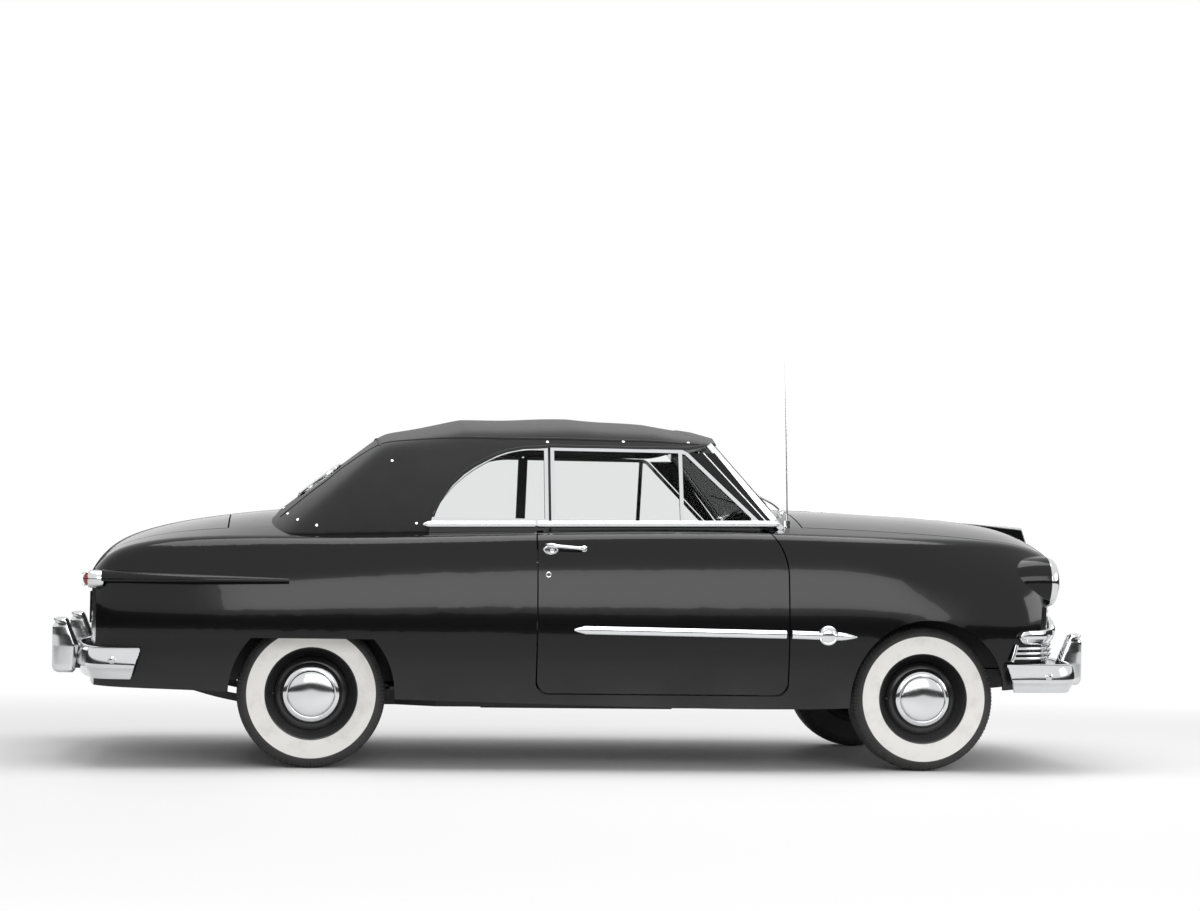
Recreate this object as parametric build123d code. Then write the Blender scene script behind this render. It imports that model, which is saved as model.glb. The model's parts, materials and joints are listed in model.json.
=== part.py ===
from build123d import *
import math
import os

# A 1950s two-door convertible car with its fabric top raised.
# +X is forward, +Y is the car's left, +Z is up. The origin is on the ground, midway between the bumper guards.
# All sizes are in millimetres. Right-hand pieces are drawn and the left-hand ones are their mirror images.

# Driving dimensions
WHEELBASE = 2896.0
FRONT_AXLE_X = 1608.0
REAR_AXLE_X = FRONT_AXLE_X - WHEELBASE
TRACK_HALF = 711.0
TYRE_R = 343.0
AXLE_Z = TYRE_R
TYRE_HALF_W = 88.0
KINGPIN_Y = 600.0
KINGPIN_R = 16.0
SPINDLE_R = 22.0
RUNNING_GAP = 0.3
SKIN = 18.0
DOOR_SKIN = 26.0
DOOR_INNER_Y = 800.0
DOOR_LEDGE_Y = 715.0
DOOR_LEDGE_Z = 1040.0
DOOR_EDGE_STEP = 15.0
DOOR_LEDGE_STEP = 32.0
SHUT_GAP = 7.0
FLOOR_TOP_Z = 378.0
FLOOR_T = 12.0
# Cross members that dip under the gearbox and the propeller shaft: rear and front face of each
DIPPED_MEMBER_XS = ((-560, -480), (640, 740))

# Body sections, tail to nose. Each row is one section across the car:
# x, bottom z, bottom half width, widest half width, crown z at the centre line, crest z at CREST_Y
CREST_Y = 720.0
WIDEST_Z = 640.0
SHOULDER_R = 92.0
BODY_SECTIONS = [
    (-2400, 378, 560, 620, 760, 640),
    (-2345, 376, 660, 712, 868, 785),
    (-2290, 374, 748, 796, 966, 900),
    (-2215, 370, 808, 852, 1034, 980),
    (-2090, 366, 846, 888, 1090, 1032),
    (-1800, 358, 868, 914, 1156, 1074),
    (-1288, 338, 878, 926, 1214, 1098),
    (-250, 311, 884, 930, 1240, 1130),
    (900, 294, 880, 928, 1243, 1143),
    (1555, 330, 866, 916, 1223, 1122),
    (1930, 385, 850, 900, 1198, 1094),
    (2090, 398, 826, 876, 1174, 1068),
    (2175, 404, 790, 840, 1150, 1040),
    (2240, 410, 742, 792, 1120, 1006),
    (2300, 415, 676, 728, 1082, 958),
    (2350, 420, 600, 655, 1036, 900),
    (2400, 424, 500, 560, 975, 820),
]
# Plan of the nose and the tail: x at the centre line, and x at BOW_Y
BOW_Y = 700.0
NOSE_X, NOSE_SIDE_X = 2372.0, 2226.0
TAIL_X, TAIL_SIDE_X = -2338.0, -2288.0

# Seams between the panels
COWL_REAR_X = 866.0
COWL_FRONT_X = 1030.0
HOOD_SEAM_Y = 690.0
HOOD_NOSE_Y = 560.0
HOOD_FRONT_Z = 968.0
LID_SEAM_Y = 635.0
LID_FRONT_X = -1690.0
LID_LOW_Z = 600.0
CABIN_HALF = 696.0
CABIN_REAR_X = -1390.0
DOOR_REAR_X = -254.0
DOOR_FRONT_X = 925.0
DOOR_LOW_Z = 362.0

# Wheel openings
FRONT_ARCH_R = 377.0
REAR_ARCH_R = 380.0
REAR_ARCH_TOP_Z = 602.0

# Side windows: they lean in from WINDOW_LOW to WINDOW_HIGH, each (y, z)
WINDOW_LOW = (755.0, 1150.0)
WINDOW_HIGH = (645.0, 1510.0)

# Fabric top
TOP_T = 13.0
TOP_LOW_Z, TOP_HIGH_Z = 1100.0, 1500.0
TOP_SIDE_R = 2600.0
TOP_EDGE_Y = 560.0
# x, half width at TOP_LOW_Z, half width at TOP_HIGH_Z, crown z, z at TOP_EDGE_Y, corner radius
TOP_SECTIONS = [
    (-1650, 768, 640, 1500, 1455, 100),
    (-1000, 768, 650, 1572, 1520, 100),
    (-580, 768, 655, 1658, 1590, 100),
    (-50, 768, 657, 1676, 1606, 100),
    (320, 768, 655, 1655, 1592, 95),
    (560, 766, 648, 1625, 1560, 90),
    (760, 764, 640, 1575, 1505, 90),
]
TOP_REAR_X = -1579.0
TOP_REAR_SLOPE = 0.77

# Lamps, rib and grille
HEADLAMP_Y, HEADLAMP_Z, HEADLAMP_R, HEADLAMP_FRONT_X = 700.0, 906.0, 118.0, 2288.0
LAMP_SEAT_X = 2226.0
TAIL_LAMP_Y, TAIL_LAMP_Z = 795.0, 858.0
# x, centre y, z, radius
POD_STATIONS = [(2226, 700, 906, 124), (2150, 699, 905, 123), (2060, 697, 901, 113), (1960, 690, 890, 88)]
RIB_STATIONS = [(-2248, 795, 858, 46), (-2090, 856, 860, 36), (-1800, 900, 862, 25), (-1400, 920, 866, 8)]
# The rib's sharp lower edge, x and z at its two ends
RIB_EDGE = [(-2330, 848), (-1380, 860)]
BOSS_Y, BOSS_Z, BOSS_R = 335.0, 664.0, 71.0
BOSS_RIM_X, BOSS_TIP_X = 2345.0, 2392.0
# The main bar's side outline, (x, z), then each thin bar's z and rear end
GRILLE_BAR = [
    (2026, 628), (2034, 614), (2140, 608), (2600, 608), (2600, 680), (2220, 680), (2130, 671), (2042, 660),
    (2028, 648),
]
GRILLE_THIN_BARS = [(592.0, 2027.0), (569.0, 2020.0), (546.0, 2013.0)]
# Side outlines of the upright bumper guards, (x, z), and their places across
GUARD_Y, REAR_GUARD_Y, GUARD_HALF_W = 450.0, 480.0, 35.0
FRONT_GUARD = [
    (2366, 505), (2384, 400), (2488, 404), (2494.5, 425), (2494.5, 612), (2484, 622), (2492, 640), (2482, 651),
    (2432, 651),
]
REAR_GUARD = [
    (-2368, 540), (-2390, 400), (-2488, 415), (-2494.5, 440), (-2494.5, 630), (-2482, 642), (-2492, 660),
    (-2482, 672), (-2426, 672),
]

# Number plate carrier: width, height, centre height, bolt spacing across and up, bolt hole radius
PLATE_W, PLATE_H, PLATE_Z = 305.0, 152.0, 712.0
PLATE_BOLTS = (178.0, 121.0)
PLATE_BOLT_R = 3.5

# Steering wheel, on the car's left
STEERING_HUB = (250.0, 370.0, 965.0)
COLUMN_TILT = math.radians(27)

# Rod round the hood ornament's blade, and the places along the car of the bows that carry the fabric top
ORNAMENT_EDGE_R = 7.0
BOW_XS = (-960.0, -575.0, -60.0, 320.0)
BOW_T, BOW_HALF_W = 16.0, 22.0

PARTS = {}


# Small helpers

def box(x, y, z):
    """A block between two x, two y and two z values."""
    return Pos((x[0] + x[1]) / 2, (y[0] + y[1]) / 2, (z[0] + z[1]) / 2) * Box(x[1] - x[0], y[1] - y[0], z[1] - z[0])


def side_slab(edges, y0, y1):
    """An outline in the XZ plane, given as edges with y at zero, carried from y0 to y1."""
    return Pos(0, y0, 0) * Solid.extrude(make_face(Curve() + edges).face(), Vector(0, y1 - y0, 0))


def side_polygon(points, y0, y1):
    """A straight-sided XZ outline carried from y0 to y1."""
    return Pos(0, y0, 0) * Solid.extrude(
        make_face(Polyline(*[(x, 0, z) for x, z in points], close=True)).face(), Vector(0, y1 - y0, 0)
    )


def plan_slab(edges, z0, z1):
    """An outline in the XY plane carried from z0 to z1."""
    return Pos(0, 0, z0) * Solid.extrude(make_face(Curve() + edges).face(), Vector(0, 0, z1 - z0))


def rod(a, b, r):
    """A round bar from a to b."""
    a, b = Vector(*a), Vector(*b)
    return Solid.extrude((Plane(origin=a, z_dir=b - a) * Circle(r)).face(), b - a)


def drum(x, y, z, r, width):
    """A cylinder about a crosswise axis, centred at x, y, z."""
    return Pos(x, y, z) * Rot(90, 0, 0) * Cylinder(r, width)


def ring_of(points, axis):
    """A solid of revolution of a closed polygon in the XY plane."""
    return revolve(make_face(Polyline(*points, close=True)), axis=axis)


def swept(profile, path):
    """A flat profile carried along a path."""
    return sweep(profile, path=path)


def dome(rim_x, rim_r, tip_x):
    """The arc from a rim to a tip on the axis, about a centre on that axis."""
    depth = tip_x - rim_x
    r = (rim_r**2 + depth**2) / (2 * abs(depth))
    centre = tip_x - math.copysign(r, depth)
    half_turn = math.asin(rim_r / r) / 2 if abs(depth) < r else math.pi / 4
    middle = (centre + math.copysign(r * math.cos(half_turn), depth), r * math.sin(half_turn))
    return (rim_x, rim_r), middle, (tip_x, 0)


def round_loft(stations):
    """A right-hand form through circles across the car, each given by x, distance from the centre line, z and radius."""
    rings = [Plane(origin=(x, -y, z), z_dir=(1, 0, 0)) * Circle(r) for x, y, z, r in stations]
    return Solid.make_loft([ring.wire() for ring in rings])


def left_of(piece):
    """The mirror image of a right-hand piece."""
    return mirror(piece, about=Plane.XZ)


def both(piece):
    """A right-hand piece with its left-hand image, as solids of one node."""
    return Compound(children=list(piece.solids()) + list(left_of(piece).solids()))


# Body form

def blend_circle(side_c, side_r, crown_c, crown_r, r):
    """Centre of the shoulder circle that lies inside the side circle and the crown circle and touches both."""
    (ax, az), ra = side_c, side_r - r
    (bx, bz), rb = crown_c, crown_r - r
    dx, dz = bx - ax, bz - az
    d = math.hypot(dx, dz)
    along = (ra * ra - rb * rb + d * d) / (2 * d)
    off = math.sqrt(ra * ra - along * along)
    mx, mz = ax + along * dx / d, az + along * dz / d
    return max((mx - off * dz / d, mz + off * dx / d), (mx + off * dz / d, mz - off * dx / d))


def on_circle(centre, toward, r):
    """The point of a circle in the direction of another point."""
    dx, dz = toward[0] - centre[0], toward[1] - centre[1]
    n = math.hypot(dx, dz)
    return centre[0] + r * dx / n, centre[1] + r * dz / n


def arc_section(x, bottom_z, side_c, side_r, crown_c, crown_r, r, inset):
    """One closed section across the car, moved in by inset: flat bottom, round sides, shoulders and a crowned top."""
    centre = blend_circle(side_c, side_r, crown_c, crown_r, r)
    side_top = on_circle(side_c, centre, side_r - inset)
    crown_end = on_circle(crown_c, centre, crown_r - inset)
    half_way = ((side_top[0] + crown_end[0]) / 2, (side_top[1] + crown_end[1]) / 2)
    shoulder = on_circle(centre, half_way, r - inset)
    side_low = (side_c[0] + math.sqrt((side_r - inset) ** 2 - (bottom_z - side_c[1]) ** 2), bottom_z)
    chord = ((side_low[0] + side_top[0]) / 2, (side_low[1] + side_top[1]) / 2)
    side_mid = on_circle(side_c, chord, side_r - inset)

    def at(point, hand=1):
        return Vector(x, hand * point[0], point[1])

    arcs = [(side_low, side_mid, side_top), (side_top, shoulder, crown_end)]
    edges = [Edge.make_line(at(side_low, -1), at(side_low))]
    edges += [Edge.make_three_point_arc(at(a), at(b), at(c)) for a, b, c in arcs]
    edges.append(
        Edge.make_three_point_arc(at(crown_end), at((0, crown_c[1] + crown_r - inset)), at(crown_end, -1))
    )
    edges += [Edge.make_three_point_arc(at(c, -1), at(b, -1), at(a, -1)) for a, b, c in reversed(arcs)]
    return Wire(edges)


def crown_circle(crown_z, edge_z, edge_y):
    """Centre and radius of the crown arc through the centre line and one point of its edge."""
    fall = crown_z - edge_z
    r = (edge_y**2 + fall**2) / (2 * fall)
    return (0, crown_z - r), r


def bow_prism(inset):
    """A tall prism whose ends are the bowed nose and tail in plan."""
    far_y = 1000.0
    nose_drop = (NOSE_X - NOSE_SIDE_X) * (far_y / BOW_Y) ** 2
    tail_drop = (TAIL_X - TAIL_SIDE_X) * (far_y / BOW_Y) ** 2
    nose, tail = NOSE_X - inset, TAIL_X + inset
    outline = [
        ThreePointArc((nose - nose_drop, -far_y), (nose, 0), (nose - nose_drop, far_y)),
        Line((nose - nose_drop, far_y), (tail - tail_drop, far_y)),
        ThreePointArc((tail - tail_drop, far_y), (tail, 0), (tail - tail_drop, -far_y)),
        Line((tail - tail_drop, -far_y), (nose - nose_drop, -far_y)),
    ]
    return plan_slab(outline, 0, 1600)


def body_form(inset, drop=0.0):
    """The body's outer form with its walls moved in by inset and its bottom lowered by drop."""
    wires = []
    for x, bottom_z, bottom_half, wide_half, crown_z, crest_z in BODY_SECTIONS:
        tuck = wide_half - bottom_half
        side_r = (tuck**2 + (WIDEST_Z - bottom_z) ** 2) / (2 * tuck)
        crown_c, crown_r = crown_circle(crown_z, crest_z, CREST_Y)
        side_c = (wide_half - side_r, WIDEST_Z)
        wires.append(arc_section(x, bottom_z - drop, side_c, side_r, crown_c, crown_r, SHOULDER_R, inset))
    return Solid.make_loft(wires) & bow_prism(inset)


# Openings and seams

def front_arches():
    """The round openings that the front wheels turn in."""
    low = box((FRONT_AXLE_X - FRONT_ARCH_R, FRONT_AXLE_X + FRONT_ARCH_R), (-1100, 1100), (100, AXLE_Z))
    return drum(FRONT_AXLE_X, 0, AXLE_Z, FRONT_ARCH_R, 2200) + low


def rear_arches():
    """The rear openings: round arches with a flat top that hides the upper part of the wheels."""
    low = box((REAR_AXLE_X - REAR_ARCH_R, REAR_AXLE_X + REAR_ARCH_R), (-1100, 1100), (100, AXLE_Z))
    round_part = drum(REAR_AXLE_X, 0, AXLE_Z, REAR_ARCH_R, 2200)
    return (round_part & box((-2000, 0), (-1100, 1100), (100, REAR_ARCH_TOP_Z))) + low


def door_outline(grow):
    """The right door's outline on the side of the body, with every edge moved out by grow."""
    top_z = 1300.0
    back, front, low = DOOR_REAR_X - grow, DOOR_FRONT_X + grow, DOOR_LOW_Z - grow
    corner = 60.0
    bite = corner * (1 - math.sqrt(0.5))
    edges = [
        Line((back, 0, low + corner), (back, 0, 1060)),
        ThreePointArc((back, 0, 1060), (back + 9, 0, 1114), (back + 43, 0, 1156)),
        Line((back + 43, 0, 1156), (back + 43, 0, top_z)),
        Line((back + 43, 0, top_z), (front - 105, 0, top_z)),
        Line((front - 105, 0, top_z), (front - 105, 0, 1150)),
        ThreePointArc((front - 105, 0, 1150), (front - 37, 0, 1066), (front, 0, 900)),
        Line((front, 0, 900), (front, 0, low + corner)),
        ThreePointArc((front, 0, low + corner), (front - bite, 0, low + bite), (front - corner, 0, low)),
        Line((front - corner, 0, low), (back + corner, 0, low)),
        ThreePointArc((back + corner, 0, low), (back + bite, 0, low + bite), (back, 0, low + corner)),
    ]
    return side_slab(edges, -1100, -600)


def cabin_opening():
    """The plan of the opening over the cabin, with round rear corners."""
    corner = 330.0
    bite = corner * (1 - math.sqrt(0.5))
    half = CABIN_HALF
    back, front = CABIN_REAR_X, COWL_REAR_X
    edges = [
        Line((front, -half), (front, half)),
        Line((front, half), (back + corner, half)),
        ThreePointArc((back + corner, half), (back + bite, half - bite), (back, half - corner)),
        Line((back, half - corner), (back, corner - half)),
        ThreePointArc((back, corner - half), (back + bite, bite - half), (back + corner, -half)),
        Line((back + corner, -half), (front, -half)),
    ]
    return plan_slab(edges, 900, 1500)


def hood_plan(grow):
    """The hood's plan, with its edges moved out by grow: parallel sides that draw in towards the nose."""
    half, nose_half = HOOD_SEAM_Y + grow, HOOD_NOSE_Y + grow
    back = COWL_FRONT_X - grow
    edges = [
        Line((back, -half), (back, half)),
        Line((back, half), (1850, half)),
        ThreePointArc((1850, half), (2130, half - 38), (2400, nose_half)),
        Line((2400, nose_half), (2400, -nose_half)),
        ThreePointArc((2400, -nose_half), (2130, 38 - half), (1850, -half)),
        Line((1850, -half), (back, -half)),
    ]
    return plan_slab(edges, HOOD_FRONT_Z - grow, 1500)


def plate_bracket():
    """The number plate's carrier on the deck lid, with four bolt holes."""
    face_x = TAIL_X - 12
    carrier = box((face_x, face_x + 5), (-PLATE_W / 2, PLATE_W / 2), (PLATE_Z - PLATE_H / 2, PLATE_Z + PLATE_H / 2))
    for y in (-60, 60):
        carrier = carrier + box((face_x + 4, TAIL_X + 10), (y - 12, y + 12), (PLATE_Z - 30, PLATE_Z + 30))
    for y in (-PLATE_BOLTS[0] / 2, PLATE_BOLTS[0] / 2):
        for z in (-PLATE_BOLTS[1] / 2, PLATE_BOLTS[1] / 2):
            carrier = carrier - rod((face_x - 2, y, PLATE_Z + z), (face_x + 8, y, PLATE_Z + z), PLATE_BOLT_R)
    return carrier


def build_body():
    """The outer panels, cut from one closed form along their seams."""
    outer = body_form(0)
    inner = body_form(SKIN, drop=60)
    shell = outer - inner - front_arches() - rear_arches() - cabin_opening()
    half = SHUT_GAP / 2

    hood = shell & hood_plan(-half)
    shell = shell - hood_plan(half)
    lid_zone = box((-2500, LID_FRONT_X), (-LID_SEAM_Y, LID_SEAM_Y), (LID_LOW_Z, 1500))
    lid_cut = box((-2500, LID_FRONT_X + SHUT_GAP), (-LID_SEAM_Y - half, LID_SEAM_Y + half), (LID_LOW_Z - half, 1500))
    lid = shell & box(
        (-2500, LID_FRONT_X), (half - LID_SEAM_Y, LID_SEAM_Y - half), (LID_LOW_Z + half, 1500)
    )
    shell = shell - lid_cut

    opening = door_outline(SHUT_GAP)
    shell = shell - opening - left_of(opening)
    door = outer & door_outline(0) & box((-600, 1100), (-1000, -DOOR_INNER_Y), (300, 1300))
    skin = door - body_form(DOOR_SKIN, drop=60)
    core = door & door_outline(-DOOR_EDGE_STEP)
    ledge = outer & door_outline(-DOOR_LEDGE_STEP) & box(
        (-600, 1100), (-1000, -DOOR_LEDGE_Y), (DOOR_LEDGE_Z, 1300)
    )
    PARTS["door_right"] = skin + core + ledge
    PARTS["hood"] = hood
    PARTS["deck_lid"] = lid + plate_bracket()

    split_x = 300.0
    side = box((-2500, split_x), (-1100, -LID_SEAM_Y - half), (0, 1500))
    sill_top = DOOR_LOW_Z - SHUT_GAP
    rear_half = shell & box((-2500, DOOR_REAR_X + 44), (-1100, 1100), (0, 1500))
    front_half = shell & box((COWL_REAR_X - 60, 2500), (-1100, 1100), (0, 1500))
    sill = box((DOOR_REAR_X + 44, COWL_REAR_X - 60), (-1100, -786), (0, sill_top))
    PARTS["sills"] = both((shell & sill) + (outer & sill & box((-900, 900), (-890, -786), (330, sill_top))))
    PARTS["quarter_right"] = rear_half & side
    PARTS["deck_panel"] = rear_half & box((LID_FRONT_X, 0), (-LID_SEAM_Y - half, LID_SEAM_Y + half), (800, 1500))
    PARTS["tail_panel"] = rear_half & box(
        (-2500, -2100), (-LID_SEAM_Y - half, LID_SEAM_Y + half), (0, LID_LOW_Z)
    )
    PARTS["cowl"] = front_half & box(
        (COWL_REAR_X - 60, COWL_FRONT_X), (-HOOD_SEAM_Y - half, HOOD_SEAM_Y + half), (900, 1500)
    )
    nose_zone = box((1900, 2500), (-HOOD_NOSE_Y, HOOD_NOSE_Y), (0, HOOD_FRONT_Z))
    grille_hole = box((2100, 2500), (-520, 520), (540, 790))
    PARTS["nose_panel"] = (front_half & nose_zone) - grille_hole
    PARTS["fender_right"] = (
        front_half
        - nose_zone
        - box((COWL_REAR_X - 60, COWL_FRONT_X), (-HOOD_SEAM_Y - half, HOOD_SEAM_Y + half), (900, 1500))
    ) & box((0, 2500), (-1100, 0), (0, 1500))
    return outer, inner


def build_lamps_and_rear_rib(inner):
    """Headlamps set in the fender fronts, tail lamps at the ends of the quarter ribs."""
    lamp_hole = Pos(2250, -HEADLAMP_Y, HEADLAMP_Z) * Rot(0, 90, 0) * Cylinder(HEADLAMP_R - 11, 400)
    pod = round_loft(POD_STATIONS)
    pod_room = Pos(LAMP_SEAT_X - 70, -HEADLAMP_Y, HEADLAMP_Z) * Rot(0, 90, 0) * Cylinder(HEADLAMP_R + 13, 300)
    rim_room = Pos(LAMP_SEAT_X + 100, -HEADLAMP_Y, HEADLAMP_Z) * Rot(0, 90, 0) * Cylinder(HEADLAMP_R + 5, 200)
    PARTS["fender_right"] = (PARTS["fender_right"] + (pod - inner)) - lamp_hole - rim_room
    PARTS["nose_panel"] = PARTS["nose_panel"] - rim_room - left_of(rim_room)
    PARTS["hood"] = PARTS["hood"] - pod_room - left_of(pod_room)

    r = HEADLAMP_R
    ring = ring_of([
            (LAMP_SEAT_X - 20, r - 12), (LAMP_SEAT_X, r - 12), (LAMP_SEAT_X, r + 2), (LAMP_SEAT_X + 18, r),
            (LAMP_SEAT_X + 30, r - 8), (LAMP_SEAT_X + 32, r - 18), (LAMP_SEAT_X + 14, r - 26),
            (LAMP_SEAT_X - 20, r - 26),
        ], Axis.X)
    glass = revolve(
        make_face(Curve() + [
            Line((2225, 0), (2225, r - 27)),
            Line((2225, r - 27), (2246, r - 27)),
            ThreePointArc(*dome(2246, r - 27, HEADLAMP_FRONT_X)),
            Line((HEADLAMP_FRONT_X, 0), (2225, 0)),
        ]),
        axis=Axis.X,
    )
    lamp = Pos(0, -HEADLAMP_Y, HEADLAMP_Z)
    PARTS["headlamp_glasses"] = both(lamp * glass)

    tail_r = 41.0
    tail_ring = ring_of([(-2240, 0), (-2240, tail_r), (-2306, tail_r), (-2313, tail_r - 7), (-2313, 0)], Axis.X)
    tail_glass = revolve(
        make_face(Curve() + [
            Line((-2313.5, 0), (-2313.5, tail_r - 9)),
            ThreePointArc(*dome(-2313.5, tail_r - 9, -2340)),
            Line((-2340, 0), (-2313.5, 0)),
        ]),
        axis=Axis.X,
    )
    place = Pos(0, -TAIL_LAMP_Y, TAIL_LAMP_Z)
    socket = place * Pos(-2275, 0, 0) * Rot(0, 90, 0) * Cylinder(tail_r + 1, 90)
    (tail_x, tail_z), (front_x, front_z) = RIB_EDGE
    above = side_polygon([(tail_x, tail_z), (front_x, front_z), (front_x, 1000), (tail_x, 1000)], -1100, 0)
    rib = round_loft(RIB_STATIONS) & above
    PARTS["quarter_right"] = (PARTS["quarter_right"] + rib) - inner - socket
    PARTS["lamp_rims"] = Compound(
        children=list(both(lamp * ring).solids()) + list(both(place * tail_ring).solids())
    )
    PARTS["tail_lamp_glasses"] = both(place * tail_glass)


def bumper_bar(path_points, radii, low_z, high_z, forward):
    """A face bar bowed round the end of the car: a curved face down to a crease and a lower lip that turns under."""
    path = FilletPolyline(*path_points, radius=radii)
    start = path_points[0]
    half = (high_z - low_z) / 2
    wall = 7.0
    crease, bulge = -0.3 * half, 0.35 * half
    plane = Plane(origin=(start[0], start[1], (low_z + high_z) / 2), x_dir=(0, -1, 0), z_dir=(forward, 0, 0))
    section = plane * make_face(Curve() + [
        ThreePointArc((-24, half), (-5, bulge), (0, crease)),
        Line((0, crease), (-30, -half)),
        Line((-30, -half), (-30 - wall, -half)),
        Line((-30 - wall, -half), (-wall, crease)),
        ThreePointArc((-wall, crease), (-5 - wall, bulge), (-24 - wall, half)),
        Line((-24 - wall, half), (-24, half)),
    ])
    return swept(section, path)


def build_bumpers():
    """Face bars with slanted ends and two upright guards each, and the irons that reach back to the frame."""
    front = bumper_bar(
        [(1972, -924, 451), (2330, -906, 451), (2506, 0, 451), (2330, 906, 451), (1972, 924, 451)],
        [150, 3400, 150], 383, 520, 1,
    )
    front = front - side_polygon([(1950, 530), (1978, 530), (2024, 373), (1950, 373)], -1000, 1000)
    guard = side_polygon(FRONT_GUARD, -GUARD_Y - GUARD_HALF_W, GUARD_HALF_W - GUARD_Y)
    iron = box((2100, 2425), (-440, -402), (425, 475))
    PARTS["front_bumper"] = front + guard + left_of(guard) + iron + left_of(iron)
    rear = bumper_bar(
        [(-2050, -924, 480), (-2290, -906, 480), (-2496, 0, 480), (-2290, 906, 480), (-2050, 924, 480)],
        [150, 3000, 150], 407, 553, -1,
    )
    rear = rear - side_polygon([(-2000, 563), (-2058, 563), (-2110, 397), (-2000, 397)], -1000, 1000)
    rear_guard = side_polygon(REAR_GUARD, -REAR_GUARD_Y - GUARD_HALF_W, GUARD_HALF_W - REAR_GUARD_Y)
    rear_iron = box((-2425, -2200), (-495, -457), (435, 485))
    PARTS["rear_bumper"] = rear + rear_guard + left_of(rear_guard) + rear_iron + left_of(rear_iron)
    front_slot = box((2200, 2400), (-448, -394), (417, 483))
    rear_slot = box((-2400, -2200), (-503, -449), (427, 493))
    PARTS["nose_panel"] = PARTS["nose_panel"] - front_slot - left_of(front_slot)
    PARTS["tail_panel"] = PARTS["tail_panel"] - rear_slot - left_of(rear_slot)


def build_grille():
    """A main bar that wraps round the nose, two round bosses on it and three thin bars that step back below it."""
    seat = body_form(-2)

    def bar(outline, depth):
        reach = side_polygon(outline, -1000, 1000)
        return (body_form(-depth) & reach) - seat

    boss = revolve(
        make_face(Curve() + [
            Line((2310, 0), (2310, BOSS_R)),
            Line((2310, BOSS_R), (BOSS_RIM_X, BOSS_R)),
            ThreePointArc(*dome(BOSS_RIM_X, BOSS_R, BOSS_TIP_X)),
            Line((BOSS_TIP_X, 0), (2310, 0)),
        ]),
        axis=Axis.X,
    )
    boss = Pos(0, -BOSS_Y, BOSS_Z) * boss
    post = box((2292, 2316), (-488, -472), (540.5, 789.5))
    node = bar(GRILLE_BAR, 30) + boss + left_of(boss)
    for z, rear_x in GRILLE_THIN_BARS:
        node = node + bar([(rear_x, z - 7), (2600, z - 7), (2600, z + 7), (rear_x + 4, z + 7)], 14)
    PARTS["grille"] = node + post + left_of(post)


def glass_point(x, z):
    """A point in the plane that the right side windows lie in."""
    lean = (WINDOW_LOW[0] - WINDOW_HIGH[0]) / (WINDOW_HIGH[1] - WINDOW_LOW[1])
    return Vector(x, -(WINDOW_LOW[0] - lean * (z - WINDOW_LOW[1])), z)


def window_normal():
    """The outward direction of the right side windows."""
    lean = (WINDOW_LOW[0] - WINDOW_HIGH[0]) / (WINDOW_HIGH[1] - WINDOW_LOW[1])
    return Vector(0, -1, lean).normalized()


def window_slab(points, thickness):
    """A pane or frame outline in the window plane, given as (x, z) points with arcs as triples of points."""
    edges = []
    for run in points:
        spots = [glass_point(*spot) for spot in run]
        edges.append(Edge.make_line(*spots) if len(spots) == 2 else Edge.make_three_point_arc(*spots))
    face = Face(Wire(edges))
    shift = window_normal() * (thickness / 2)
    return Solid.extrude(face.moved(Location(shift * -1)), shift * 2)


def build_windows():
    """Chrome window frames and panes: a door pane, a vent pane and a quarter pane on each side."""
    def polygon(points):
        return list(zip(points, points[1:] + points[:1]))

    frame_t, glass_t = 16.0, 5.0
    door_outer = polygon([(-184, 1080), (-184, 1508), (452, 1508), (478, 1494), (812, 1172), (812, 1080)])
    main_hole = polygon([(-166, 1166), (-166, 1492), (430, 1492), (430, 1166)])
    vent_hole = polygon([(448, 1166), (448, 1488), (462, 1486), (770, 1188), (770, 1166)])
    trim = body_form(-1)
    frame = window_slab(door_outer, frame_t) - window_slab(main_hole, 60) - window_slab(vent_hole, 60)
    PARTS["door_frame_right"] = frame - trim
    panes = window_slab(main_hole, glass_t) + window_slab(vent_hole, glass_t)
    PARTS["door_glass_right"] = panes

    def quarter_edges(grow, front_x, low_z):
        return [
            (( -745 - grow, low_z), (-640 - 0.8 * grow, 1316 + 0.6 * grow), (-486 - 0.5 * grow, 1430 + 0.86 * grow)),
            ((-486 - 0.5 * grow, 1430 + 0.86 * grow), (-370 - 0.2 * grow, 1478 + grow), (-240, 1492 + grow)),
            ((-240, 1492 + grow), (front_x, 1492 + grow)),
            ((front_x, 1492 + grow), (front_x, low_z)),
            ((front_x, low_z), (-745 - grow, low_z)),
        ]

    quarter_frame = window_slab(quarter_edges(16, -196, 1080), frame_t) - window_slab(
        quarter_edges(0, -214, 1166), 60
    )
    PARTS["quarter_window_frames"] = both(quarter_frame - trim)
    PARTS["quarter_window_glass"] = both(window_slab(quarter_edges(0, -214, 1166), glass_t))
    return window_slab(quarter_edges(18, 3000, 1000), 400)


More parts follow.
